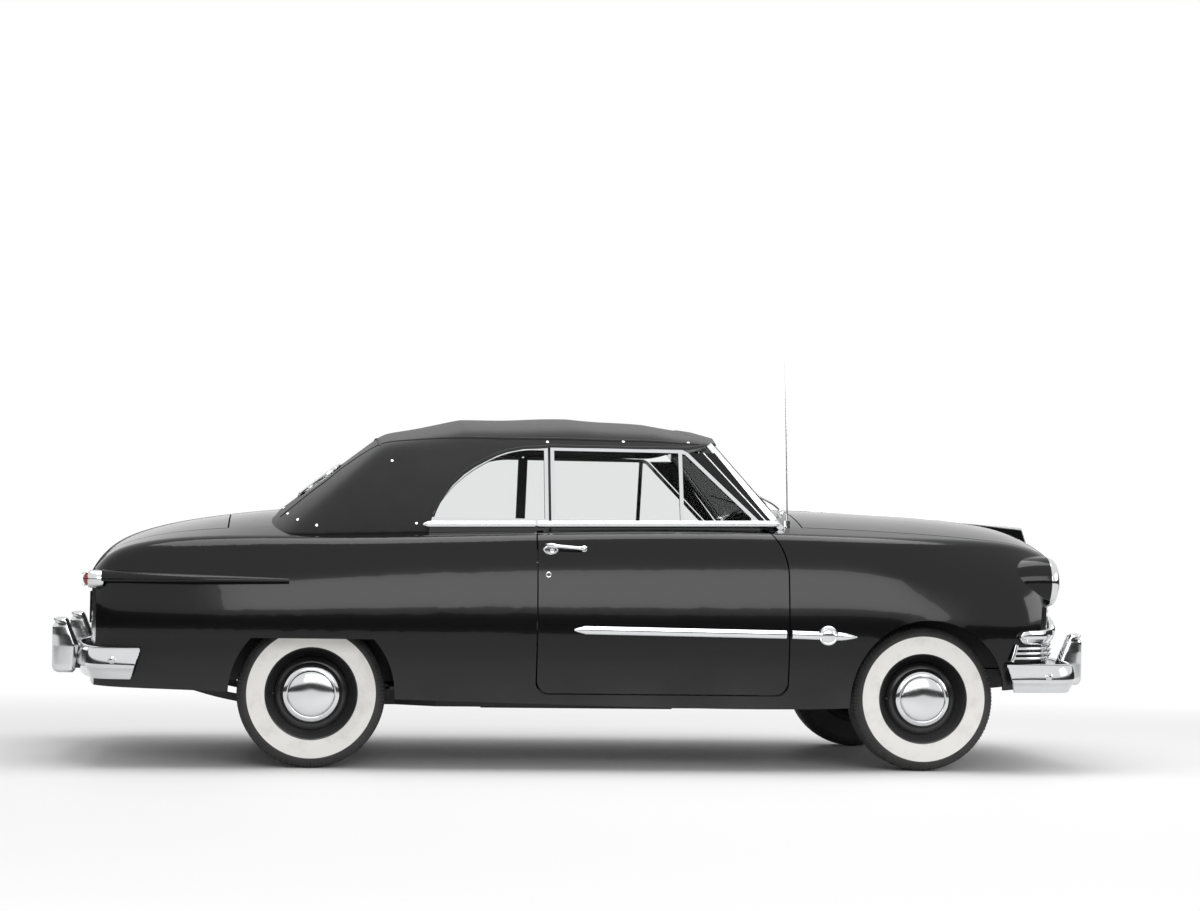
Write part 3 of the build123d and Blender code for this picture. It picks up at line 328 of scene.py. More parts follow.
def round_angles(count):
    """Evenly spaced angles once round a circle."""
    return np.linspace(0, TAU, count, endpoint=False)


def halved(low, high, is_below, steps):
    """Narrows the ranges from low to high down to where a test stops being true."""
    for _ in range(steps):
        half = (low + high) / 2
        below = is_below(half)
        low, high = np.where(below, half, low), np.where(below, high, half)
    return half, high


def ramp(value, start, width):
    """Rises from 0 at the start to 1 over a width."""
    return np.clip((value - start) / width, 0, 1)


def quarter_round(share, least=0.0):
    """Rises to 1 like a quarter circle as a share goes from 0 to 1."""
    return np.sqrt(np.clip(1 - (1 - np.clip(share, 0, 1)) ** 2, least, 1))


def soft_least(a, b, power):
    """The smaller of two lengths, with the change from one to the other rounded off."""
    return (a**-power + b**-power) ** (-1 / power)


def placed(name, data):
    """A new object in the scene."""
    made = bpy.data.objects.new(name, data)
    bpy.context.scene.collection.objects.link(made)
    return made


def mesh_of(name, sheets, closed=True):
    """One mesh from several grids of points. Each grid is (points, wraps_rows, wraps_columns): neighbours in
    its rows and columns make the faces, and a side that wraps is joined to its start."""
    corners, faces, start = [], [], 0
    for points, wrap_rows, wrap_columns in sheets:
        rows, columns = points.shape[:2]
        index = start + np.arange(rows * columns).reshape(rows, columns)
        if wrap_rows:
            index = np.vstack([index, index[:1]])
        if wrap_columns:
            index = np.hstack([index, index[:, :1]])
        quads = np.stack([index[:-1, :-1], index[1:, :-1], index[1:, 1:], index[:-1, 1:]], axis=-1)
        corners.append(points.reshape(-1, 3))
        faces.append(quads.reshape(-1, 4))
        start += rows * columns
    mesh = bpy.data.meshes.new(name)
    mesh.from_pydata(np.vstack(corners).tolist(), [], np.vstack(faces).tolist())
    work = bmesh.new()
    work.from_mesh(mesh)
    bmesh.ops.remove_doubles(work, verts=work.verts, dist=2e-6)
    if closed:
        bmesh.ops.recalc_face_normals(work, faces=work.faces)
    work.to_mesh(mesh)
    work.free()
    return mesh


def piece(name, slot, sheets, body="root", replaced=(), finish=None, closed=True, sharp=35):
    """Puts grids into one object that rides a body, smooth but for edges sharper than the angle, in the finish of
    its slot unless another is given."""
    made = placed(name, mesh_of(name, sheets, closed))
    made.data.materials.append(finish or SLOT_FINISH[slot])
    made.data.polygons.foreach_set("use_smooth", np.ones(len(made.data.polygons), bool))
    if sharp < 180:
        made.data.set_sharp_from_angle(angle=math.radians(sharp))
    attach(made, body)
    if replaced:
        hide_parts(*replaced)
    return made


def of_faces(mesh, what, width=1):
    """One of the numbers that each face has, or its vector, for all faces."""
    values = np.empty(len(mesh.polygons) * width)
    mesh.polygons.foreach_get(what, values)
    return values.reshape(-1, width)


def ended(rings):
    """Rings of points as a tube whose two ends close on their middles."""
    ends = rings[[0, -1]].mean(axis=1, keepdims=True).repeat(rings.shape[1], axis=1)
    return np.concatenate([ends[:1], rings, ends[1:]]), False, True


def rings_on(path, side, top, profile):
    """At each point of a path the profile's pairs of numbers, along the side and top directions there."""
    return path[:, None] + side[:, None] * profile[..., :1] + top[:, None] * profile[..., 1:]


def rings_along(path, profile, up=UP):
    """The rings of a profile carried along a path, whose side is level unless another up direction is given."""
    path = np.asarray(path, float)
    ahead = unit(np.gradient(path, axis=0))
    side = np.cross(ahead, up)
    size = np.linalg.norm(side, axis=1, keepdims=True)
    side = np.where(size > 1e-6, side / np.maximum(size, 1e-6), np.cross(ahead, AHEAD))
    return rings_on(path, side, np.cross(side, ahead), profile)


def carried(path, profile, up=UP):
    """A bar: a profile carried along a path, with closed ends."""
    return ended(rings_along(path, profile, up))


def oval(a, b, count=16, power=2.0):
    """Points round an oval with half sizes a and b; a higher power squares it."""
    t = round_angles(count)
    c, s = np.cos(t), np.sin(t)
    return grid(np.sign(c) * np.abs(c) ** (2 / power) * a, np.sign(s) * np.abs(s) ** (2 / power) * b)


def rod(points, radius, count=12):
    """A round bar along a line of points."""
    return carried(points, oval(radius, radius, count))


def turned(profile, centre, axis, count=96):
    """A profile of (radius, distance along the axis) pairs, in millimetres, turned once round an axis."""
    axis = unit(np.asarray(axis, float))
    first = unit(np.cross(axis, UP if abs(axis[2]) < 0.9 else AHEAD))
    t = round_angles(count)[:, None, None]
    r, h = np.asarray(profile, float).T[:, None, :, None] / 1000
    ring = np.cos(t) * first + np.sin(t) * np.cross(axis, first)
    return np.asarray(centre) + ring * r + axis * h, True, False


def block(low, high, soft=0.004):
    """A pressed bar between two corners: a squared oval carried along its longest side, with rounded ends."""
    low, high = np.sort([low, high], axis=0)
    size = high - low
    axis = int(np.argmax(size))
    others = [i for i in range(3) if i != axis]
    shape = oval(*size[others] / 2, 24, 8.0)
    t = np.array([0, soft * 0.3, soft, size[axis] - soft, size[axis] - soft * 0.3, size[axis]])
    inset = np.array([soft, soft * 0.3, 0, 0, soft * 0.3, soft])
    points = np.empty((6, 24, 3))
    points[..., axis] = low[axis] + t[:, None]
    points[..., others] = (low + high)[others] / 2 + shape * (1 - inset[:, None] / (size[others] / 2))[:, None]
    return ended(points)


def mirrored(sheets):
    """The same grids on the car's other side."""
    return [(points * (1.0, -1.0, 1.0), *wraps) for points, *wraps in sheets]


def both_sides(sheet):
    return [sheet, *mirrored([sheet])]


SIDES = (("right", list), ("left", mirrored))


def curve_through(points, count):
    """Evenly counted points on a smooth curve through the given ones (Catmull-Rom, in whole arrays)."""
    p = np.asarray(points, float)
    p = np.vstack([2 * p[0] - p[1], p, 2 * p[-1] - p[-2]])
    t = np.linspace(0, len(points) - 1, count)
    i = np.minimum(t.astype(int), len(points) - 2)
    f = (t - i)[:, None]
    a, b, c, d = p[i], p[i + 1], p[i + 2], p[i + 3]
    return 0.5 * (2 * b + (c - a) * f + (2 * a - 5 * b + 4 * c - d) * f**2 + (3 * b - a - 3 * c + d) * f**3)


def rounded_path(corners, radii, step=0.02):
    """Straight runs between corners with each inner corner replaced by an arc of its radius."""
    corners = np.asarray(corners, float)
    rows = [corners[:1]]
    for before, here, after, radius in zip(corners, corners[1:], corners[2:], radii):
        a, b = unit(before - here), unit(after - here)
        half = math.acos(np.clip(a @ b, -1, 1)) / 2
        middle = here + unit(a + b) * radius / math.sin(half)
        start, end = (here + way * radius / math.tan(half) - middle for way in (a, b))
        turn = math.pi - 2 * half
        t = np.linspace(0, 1, max(5, int(radius * turn / step)))[:, None]
        rows.append(middle + (start * np.sin((1 - t) * turn) + end * np.sin(t * turn)) / math.sin(turn))
    path = np.vstack([*rows, corners[-1:]])
    far = np.concatenate([[0], np.cumsum(np.linalg.norm(np.diff(path, axis=0), axis=1))])
    even = np.linspace(0, far[-1], int(far[-1] / step))
    return np.stack([np.interp(even, far, path[:, i]) for i in range(3)], -1)


class Skin:
    """The faces of some CAD nodes, to find where a trim piece lies on them."""

    def __init__(self, *names):
        points, faces = [], []
        for name in names:
            mesh = NODES[name].data
            start = len(points)
            points += [v.co for v in mesh.vertices]
            faces += [[start + i for i in p.vertices] for p in mesh.polygons]
        self.tree = BVHTree.FromPolygons(points, faces)

    def hit(self, origin, direction, missing=None):
        """The first point on the faces along a line, as an array, or the one given for a line that misses them."""
        place = self.tree.ray_cast(Vector(origin), Vector(direction))[0] or missing
        if place is None:
            raise ValueError(f"no face on the line from {origin}")
        return np.array(place)

    def from_right(self, x, z):
        """The outer face at a side-view place, seen from the car's right."""
        return self.hit((x, -2.0, z), INWARD)

    def from_above(self, x, y, missing=None):
        return self.hit((x, y, 3.0), (0, 0, -1), missing)


# Wheels and tyres

# The tread's radius and half width in millimetres, then the radii of the white side wall and the valve in metres
TREAD_R, TREAD_HALF, WHITE_FROM, WHITE_TO, VALVE_R = 343, 69, 0.2135, 0.2965, 0.176


def tyre(place, x, side):
    """A tyre's section turned round its axle: a flat tread cut by four zigzag grooves and shoulder bars whose depth
    is a function of the angle and the place across, a full side wall, and a raised rib outside the white band."""
    wall = np.array([(206, -70), (213, -75), (222, -77.5), (250, -83.5), (275, -87), (297, -88), (300, -88.6),
                     (304, -88.6), (307, -87.4), (316, -84.5), (325, -79), (332, -73)])
    tread = np.linspace(-TREAD_HALF, TREAD_HALF, 93)
    r = np.concatenate([wall[:, 0], TREAD_R - 5.0 * (np.abs(tread) / TREAD_HALF) ** 3.0, wall[::-1, 0]])
    w = np.concatenate([wall[:, 1], tread, -wall[::-1, 1]])
    angles = round_angles(480)[:, None]

    def phase(count):
        return (angles * count / TAU) % 1.0

    zig = 2.2 * np.abs(phase(60) * 2 - 1)
    depth = np.zeros((len(angles), len(r)))
    for groove in (-42, -15, 15, 42):
        depth += 6.5 * np.clip(1.6 - np.abs(w - groove - zig * np.sign(groove)) / 1.9, 0, 1)
    depth += 5.0 * (phase(120) < 0.42) * ramp(np.abs(w), 53, 4) * (r > 322)
    sipes = (phase(240) < 0.16) * np.clip((24 - np.abs(np.abs(w) - 28)) / 14, 0, 1)
    depth += 2.0 * sipes * (r > 337) * (np.abs(w) < 40)
    radius = (r - np.minimum(depth, 7.0)) / 1000
    points = grid(x + radius * np.cos(angles), side * TRACK + w / 1000, TYRE_R + radius * np.sin(angles))
    made = piece("tyre_dressed_" + place, "tyre_rubber", [(points, True, True)], "wheel_" + place,
                 ("tyre_" + place,), sharp=50)
    made.data.materials.append(WHITE)
    centre = of_faces(made.data, "center", 3)
    out = np.hypot(centre[:, 0] - x, centre[:, 2] - TYRE_R)
    band = (out > WHITE_FROM) & (out < WHITE_TO) & ((centre[:, 1] - side * TRACK) * side > 0.07)
    made.data.polygons.foreach_set("material_index", band.astype(np.int32))


def wheel(place, x, side):
    """The steel wheel as turned profiles: a rim with its flanges and well, a dished disc with a raised ring,
    and behind it the drum. The hub cap is a plain bright dome with a rolled edge and one fine sunk ring."""
    centre, out = (x, side * TRACK, TYRE_R), (0, side, 0)
    body, name = "wheel_" + place, "wheel_dressed_" + place
    rim = [(207, -66), (212, -69), (216, -73), (213, -76), (208, -75), (204, -68), (190, -60), (186, -46), (171, -30),
           (170, 10), (176, 26), (188, 38), (192, 56), (204, 67), (208, 76), (212.5, 77), (216, 74), (212.5, 68),
           (207, 64), (196, 50), (184, 34), (171.5, 22), (164, 10), (164, -34), (178, -50), (186, -63), (207, -66)]
    disc = [(171, 12), (171, 22), (166, 38), (155, 47), (143, 49.5), (134, 44), (126, 43), (60, 50), (0, 50), (0, 42),
            (60, 42), (124, 35), (134, 36), (143, 41), (153, 39), (161, 30), (164, 12), (171, 12)]
    drum = [(0, -60), (146, -60), (148, -56), (148, 6), (140, 14), (60, 20), (0, 20)]
    cap = [(0, 40), (126, 40), (131, 52), (132.5, 57), (131.5, 61.5), (128, 64.5), (123, 66.8), (117, 69.3),
           (112, 71.4), (110.5, 71.0), (108.5, 69.6), (106.5, 71.4), (105, 74.2), (98, 77.2), (84, 81.4), (68, 84.6),
           (50, 86.9), (33, 88.1), (18, 88.5), (0, 88.6)]
    piece(name, "wheel_paint", [turned(part, centre, out) for part in (rim, disc, drum)], body, (body,))
    piece(name + "_cap", "chrome", [turned(cap, centre, out, 128)], body, sharp=40)
    stem = [(x - VALVE_R, side * (TRACK + reach), TYRE_R) for reach in (0.045, 0.072)]
    piece(name + "_valve", "tyre_rubber", [rod(stem, 0.004, 10)], body)


# The fabric top

# Its cross sections along the car, in millimetres: x, half width at the belt and above it, middle and edge heights
TOP_ROWS = np.array([(-1650, 768, 640, 1500, 1455), (-1000, 768, 650, 1572, 1520), (-580, 768, 655, 1658, 1590),
                     (-50, 768, 657, 1676, 1606), (320, 768, 655, 1655, 1592), (560, 766, 648, 1625, 1560),
                     (760, 764, 640, 1575, 1505)])
TOP_FOOT_X, TOP_SLOPE, TOP_LOW, TOP_HIGH, TOP_SIDE_R, ROOF_HALF = -1.579, 0.77, 1.100, 1.500, 2.600, 0.56
# Its foot line in plan: how wide its flat middle is and how far it bows, then the same for the rounded part outside
FOOT_FLAT, FOOT_BOW, FOOT_ROUND, FOOT_REACH = 0.40, 0.022, 0.43, 0.378
# Where it rests on its middle bow, how far apart the bows are, how far it dips between them, and where the header
# starts to draw it back
BOW_X, BOW_GAP, CLOTH_DIP, DRAWN_FROM = -0.58, 0.43, 0.0045, 0.2
# Where its side edge runs above the side windows, in millimetres: x and height
EDGE_ROWS = np.array([(-1700, 1085), (-775, 1085), (-762, 1090), (-755, 1117), (-750, 1139), (-740, 1172),
                      (-731, 1196), (-720, 1221), (-697, 1263), (-655, 1321), (-600, 1375), (-546, 1413),
                      (-494, 1441), (-440, 1468), (-393, 1485), (-311, 1502), (-240, 1506), (-205, 1509),
                      (-190, 1513), (800, 1513)])
# The seams at the rear and the fasteners, by their place along the car and their angle on the cloth
REAR_SEAM = [(-1.445, 0.196), (-1.419, 0.236), (-1.356, 0.331), (-1.296, 0.419), (-1.228, 0.499), (-1.158, 0.600),
             (-1.077, 0.662), (-1.022, 0.676), (-0.985, 0.681)]
SNAPS = [(-0.197, 0.657), (0.167, 0.672), (0.484, 0.689), (-0.932, 0.524), (-1.432, 0.486), (-1.412, 0.2105),
         (-1.366, 0.143), (-1.278, 0.105), (-0.816, 0.128)]
REAR_WINDOW, REAR_WINDOW_HALF, SLOPE_RUN = np.array([-1.2605, 0, 1.3455]), (0.380, 0.115), 0.792
BEHIND_WINDOWS, CLOTH_LOWEST, CLOTH_THICKNESS, CLOTH_COLUMNS = -0.775, 1.05, 0.0035, 181
LONG_SEAM, CROSS_SEAM_X = math.radians(39.0), -0.985


def slope_height(x, y):
    """The height of the rear slope: it rises forward from a foot line that is curved like a bow in plan."""
    t = np.clip((np.abs(y) - FOOT_FLAT) / FOOT_ROUND, 0, 0.98)
    foot = TOP_FOOT_X + FOOT_BOW * ramp(np.abs(y), 0, FOOT_FLAT) ** 2 + FOOT_REACH * (1 - np.sqrt(1 - t**2))
    return TOP_LOW + TOP_SLOPE * (x - foot)


def top_at(x, angle, lift=0.0):
    """A point of the cloth from its place along the car and its angle round a line below the belt. The distance from
    that line is a soft minimum of the distances to the bulging side, the crowned roof and the rear slope, which is
    found by halving, and the cloth dips a little between its bows."""
    low, high, crown, edge = (np.interp(x, TOP_ROWS[:, 0] / 1000, column) for column in TOP_ROWS.T[1:] / 1000)
    base = TOP_LOW - 0.06
    cos, sin = np.abs(np.cos(angle)), np.maximum(np.sin(angle), 1e-4)
    chord = np.hypot(high - low, TOP_HIGH - TOP_LOW)
    arm = np.sqrt(TOP_SIDE_R**2 - chord**2 / 4)
    across = (low + high) / 2 - arm * (TOP_HIGH - TOP_LOW) / chord
    up = (TOP_LOW + TOP_HIGH) / 2 + arm * (high - low) / chord - base
    toward = across * cos + up * sin
    side = toward + np.sqrt(TOP_SIDE_R**2 - across**2 - up**2 + toward**2)
    fall = crown - edge
    radius = (ROOF_HALF**2 + fall**2) / (2 * fall)
    middle = crown - radius - base
    roof = middle * sin + np.sqrt(np.maximum(radius**2 - (middle * cos) ** 2, 1e-6))
    whole = soft_least(side, roof, 40.0)
    slope, _ = halved(np.full_like(whole, 0.002), whole * 1.6,
                      lambda arm: base + arm * sin < slope_height(x, arm * cos), 24)
    wave = (1 - np.cos((x - BOW_X) / BOW_GAP * TAU)) / 2 * (x < 0.5) * (x > -1.0)
    reach = soft_least(whole, slope, 60.0) - CLOTH_DIP * wave * np.clip(sin * 1.6 - 0.6, 0, 1) + lift
    return grid(x, np.cos(angle) * reach, base + np.sin(angle) * reach)


def foot_angle(x):
    """The angle at which the cloth goes into the body behind the side windows: the first one from the side at which
    it stands less than a few millimetres below the body's skin, or else the one where it is nearest to it."""
    body = Skin("deck_panel", "quarter_left", "deck_lid")
    angles = np.linspace(0.02, 1.3, 240)
    found = []
    for place in x:
        points = top_at(np.full_like(angles, place), angles)
        skin = [body.from_above(*point[:2], (0, 0, CLOTH_LOWEST))[2] for point in points]
        found.append(angles[np.argmax(np.minimum(points[:, 2] - skin + 0.005, 0))])
    return np.array(found)


def edge_angle(x):
    """The angle at which the cloth ends above the side windows, found from the wanted height by halving."""
    wanted = np.interp(x, *EDGE_ROWS.T / 1000)
    return halved(np.full_like(x, 0.01), np.full_like(x, 1.2), lambda angle: top_at(x, angle)[..., 2] < wanted, 26)[1]


def header_line(x, angle):
    """Draws the cloth's front rows back so that its last row follows the windshield's V and lean: the further from
    the centre line, the further back."""
    end = 0.700 - 0.145 * np.abs(0.64 * np.cos(angle))
    return np.where(x > DRAWN_FROM, DRAWN_FROM + ramp(x, DRAWN_FROM, 0.592) * (end - DRAWN_FROM), x)


def fabric_top():
    """The cloth as one grid from the windshield header to the deck and from one side edge over to the other, with
    the rear window's faces left out, and its sewn seams as low welts on the same surface."""
    xs = np.concatenate([np.linspace(-1.560, -0.80, 92), np.linspace(-0.795, -0.20, 84)[1:],
                         np.linspace(-0.20, 0.792, 84)[1:]])
    start = edge_angle(xs)
    start[xs < BEHIND_WINDOWS] = foot_angle(xs[xs < BEHIND_WINDOWS])
    angle = start[:, None] + (math.pi - 2 * start[:, None]) * np.linspace(0, 1, CLOTH_COLUMNS)
    points = top_at(header_line(np.broadcast_to(xs[:, None], angle.shape), angle), angle)
    made = piece("top_cloth", "top_canvas", [(points, False, False)], replaced=("top_cover",), closed=False, sharp=180)
    mesh = made.data
    x, y, z = of_faces(mesh, "center", 3).T
    across = np.maximum(np.abs(y) - 0.32, 0)
    along = np.maximum(np.abs(x - REAR_WINDOW[0]) / 0.79 - 0.055, 0)
    window = (np.hypot(across, along) < 0.060) & (x < -1.0)
    work = bmesh.new()
    work.from_mesh(mesh)
    work.faces.ensure_lookup_table()
    bmesh.ops.delete(work, geom=[work.faces[i] for i in np.flatnonzero(window)], context="FACES")
    work.to_mesh(mesh)
    work.free()
    if mesh.polygons[len(mesh.polygons) // 2].normal.z < 0:
        mesh.flip_normals()
    wall = made.modifiers.new("cloth_thickness", "SOLIDIFY")
    wall.thickness = CLOTH_THICKNESS
    wall.offset = -1
    float(of_faces(mesh, "area").sum())
    top_seams()
    rear_window_frame()
    top_snaps()


def welts(x, angle, width=0.011, height=0.0028):
    """A flat sewn seam on the cloth and its mirror image: its rows follow the surface at offsets from the line."""
    section = np.array([(-width / 2, -0.002), (-width / 2, height * 0.6), (-width / 3, height),
                        (-0.0008, height * 1.05), (0, height * 0.55), (0.0008, height * 1.05), (width / 3, height),
                        (width / 2, height * 0.6), (width / 2, -0.002)])
    sheets = []
    for turn in (angle, math.pi - angle):
        centre = top_at(x, turn)
        out = unit(top_at(x, turn, 0.01) - centre)
        side = np.cross(unit(np.gradient(centre, axis=0)), out)
        sheets.append(ended(rings_on(centre, side, out, section)))
    return sheets


def top_seams():
    """The two long seams near the roof's edges, the cross seam over the rear bow, the two seams that run down to the
    foot and the binding at each side edge."""
    roof = np.linspace(-0.98, 0.775, 150)
    long_angle = np.full_like(roof, LONG_SEAM)
    across = np.linspace(math.radians(38), math.pi - math.radians(38), 120)
    edge = np.concatenate([np.linspace(-0.752, -0.20, 90), np.linspace(-0.19, 0.785, 60)])
    start = edge_angle(edge) + 0.004
    sheets = [*welts(header_line(roof, long_angle), long_angle),
              welts(np.full_like(across, CROSS_SEAM_X), across, 0.014, 0.003)[0],
              *welts(*curve_through(REAR_SEAM, 70).T, 0.010), *welts(header_line(edge, start), start, 0.017, 0.004)]
    return piece("top_seams", "top_canvas", sheets, sharp=60)


def rear_window_frame():
    """The bright frame of the rear window: a flat oval section carried round a rounded rectangle on the slope."""
    normal, down = np.array([-0.61, 0, SLOPE_RUN]), (-SLOPE_RUN, 0, -0.61)
    path = REAR_WINDOW + oval(*REAR_WINDOW_HALF, 128, 5.0) @ np.array([INWARD, down])
    outward = np.cross(unit(np.roll(path, -1, 0) - np.roll(path, 1, 0)), normal)
    section = np.array([(-0.020, -0.004), (-0.020, 0.004), (-0.013, 0.0085), (-0.004, 0.010), (0.006, 0.0085),
                        (0.016, 0.003), (0.016, -0.004)])
    return piece("rear_window_frame", "chrome", [(rings_on(path, outward, normal[None], section), True, True)])


def top_snaps():
    """Small domed fasteners on the cloth: three above each row of side windows, one on the rear quarter and five
    round the foot."""
    dome = [(0, -3), (6.5, -3), (7.5, 1), (5.5, 3.2), (3.2, 2.7), (0, 3.8)]
    sheets = []
    for x, turn in SNAPS:
        for angle in (turn, math.pi - turn):
            spot = top_at(x, angle)
            sheets.append(turned(dome, spot, top_at(x, angle, 0.01) - spot, 20))
    return piece("top_snaps", "chrome", sheets)


# Cabin

def seat_pad(node, axis, pleats, spread):
    """A pad in a node's box with its sewn face toward plus the axis (2 for a cushion, 0 for a backrest): a closed
    squared-oval box whose upper face is cut by sewn channels that run between rolled bolsters, and whose sides pull
    in between the corners. The face behind is the same one made flatter by the spread."""
    low, high = (np.array(corner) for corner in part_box(node))
    half = (high - low) / 2
    u, v = np.meshgrid(np.linspace(-1, 1, 161), np.linspace(-1, 1, 73), indexing="ij")
    shape = (1 - np.abs(u) ** 7) ** (1 / 7) * (1 - np.abs(v) ** 5) ** (1 / 5)
    inner = np.clip((0.86 - np.abs(u)) / 0.10, 0, 1) * np.clip((0.80 - np.abs(v)) / 0.14, 0, 1)
    channel = np.abs(np.sin(np.pi * (u + 1) / 2 * pleats)) ** 0.55
    swell = 1 - inner * (1 - channel) * 0.16 - 0.05 * inner
    dent = 0.10 * np.exp(-((np.maximum(np.abs(u) / 0.87, np.abs(v) / 0.82) - 1) / 0.03) ** 2)
    pull = 1 - 0.02 * (1 - np.cos(np.pi * u * 2)) * (np.abs(v) > 0.9)
    rise = shape * (swell - dent * (shape > 0.2)) * pull
    front = (low + high) / 2 + np.zeros((*u.shape, 3))
    front[..., 1] += half[1] * u
    front[..., 2 - axis] += half[2 - axis] * v
    back = front.copy()
    front[..., axis] += rise * half[axis]
    back[..., axis] -= np.clip(rise * spread, 0, 1) * half[axis]
    made = piece(node + "_pad", "seat_leather", [(front, False, False), (back, False, False)], replaced=(node,),
                 sharp=180)


STEERING_HUB, COLUMN_TILT = np.array([0.250, 0.370, 0.965]), math.radians(27)


def steering_wheel():
    """The steering wheel in the plane across its column: a rim whose section swells forty times into finger grips at
    the back, three spokes that rise from the hub, and a bright horn ring held before them by two bars."""
    run, rise = math.cos(COLUMN_TILT), math.sin(COLUMN_TILT)
    hub, toward, across, up = STEERING_HUB, np.array([-run, 0, rise]), np.array(INWARD), np.array([rise, 0, run])
    a = round_angles(320)[:, None, None]
    b = round_angles(20)[None, :, None]
    ring = np.cos(a) * across + np.sin(a) * up
    grips = 1 + 0.13 * np.cos(40 * a) * np.clip(-np.sin(b), 0, 1)
    rim = hub + ring * (0.215 + 0.0105 * np.cos(b) * grips) + toward * (0.0125 * np.sin(b) * grips)
    horn = hub + ring * (0.138 + 0.0045 * np.cos(b)) + toward * (0.030 + 0.0035 * np.sin(b))
    t = np.linspace(0, 1, 24)[:, None]
    spokes = []
    for turn in np.radians((-90, 30, 150)):
        way = math.cos(turn) * across + math.sin(turn) * up
        line = hub + way * (0.018 + 0.195 * t) + toward * (0.014 * (1 - t) ** 2)
        spokes.append(carried(line, oval(0.017, 0.006, 16, 2.6) * (1.0 - 0.35 * np.sin(np.pi * t[..., None])), toward))
    core = turned([(0, -55), (30, -55), (34, -10), (36, 12), (34, 20), (0, 20)], hub, toward, 48)
    piece("steering_wheel_rim", "wheel_plastic", [(rim, True, True), core, *spokes], "steering_wheel",
          ("steering_wheel",), sharp=50)
    cap = turned([(0, 16), (29, 16), (30, 24), (26, 30), (22, 31), (12, 36), (0, 37)], hub, toward, 48)
    bars = [rod([hub + across * (side * 0.026) + toward * 0.026, hub + across * (side * 0.138) + toward * 0.030],
                0.0035) for side in (-1, 1)]
    piece("horn_ring", "chrome", [(horn, True, True), cap, *bars], "steering_wheel", sharp=50)
    root = hub - toward * 0.085
    tip = root + (0.010, -0.215, 0.075)
    collar = turned([(0, -30), (17, -30), (16.5, -20), (17.5, 30), (0, 30)], root, toward, 32)
    piece("shift_lever", "chrome", [rod([root, (root + tip) / 2 + (0, 0, 0.010), tip], 0.0048), collar])
    t = np.linspace(0, np.pi, 12)
    piece("shift_knob", "wheel_plastic", [turned(grid(np.sin(t) * 11, -np.cos(t) * 14), tip, tip - root, 24)])


NEEDLE_TURN = -2.05


def dashboard():
    """Instruments on the dashboard's face: a round dial with a stepped bezel, graduations and a needle, a row of bars
    over the speaker, knobs, and the glove box lid's bright edge with its catch."""
    face = Skin("dashboard")

    def spot(y, z):
        return face.hit((-1.0, y, z), AHEAD)

    centre = spot(0.370, 1.030)
    bezel = [(70, -4), (84, -4), (85, 4), (82, 10), (77, 12), (73, 9), (70, 5), (70, -4)]
    knob = [(0, 0), (6, 0), (6, 12), (12, 14), (12.5, 24), (10, 27), (0, 27)]
    knobs = [(0.225, 0.970), (0.255, 1.010), (0.485, 1.010), (0.515, 0.970), (-0.075, 0.952), (0.075, 0.952),
             (-0.390, 1.085)]
    sheets = [turned(bezel, centre, BACK, 72), *(turned(knob, spot(*place), BACK, 28) for place in knobs)]
    for z in np.linspace(0.985, 1.070, 8):
        sheets.append(carried([spot(y, z) for y in np.linspace(-0.115, 0.115, 9)], oval(0.0035, 0.0032, 10)))
    lid = rounded_path([(0, -0.58, 0.955), (0, -0.58, 1.062), (0, -0.205, 1.062), (0, -0.205, 0.955),
                        (0, -0.58, 0.955)], (0.015, 0.015, 0.015), 0.01)
    sheets.append(carried([spot(y, z) for _, y, z in lid], oval(0.0028, 0.0022, 8), AHEAD))
    piece("dash_bright", "chrome", sheets, sharp=50)
    piece("dash_dial", "wheel_plastic", [turned([(0, -2), (71, -2), (71, 3), (0, 3)], centre, BACK, 64)])

    def on_dial(turn, raised, ends):
        way = np.array([0, -math.sin(turn), math.cos(turn)])
        return [centre + (-raised, 0, 0) + way * reach for reach in ends]

    marks = [rod(on_dial(turn, 0.0036, (0.054, 0.064)), 0.0009, 6) for turn in np.radians(np.linspace(-120, 120, 25))]
    marks.append(carried(on_dial(NEEDLE_TURN, 0.0050, (-0.012, 0.050)), oval(0.0014, 0.0010, 6)))
    piece("dial_marks", "wheel_plastic", marks, finish=IVORY)


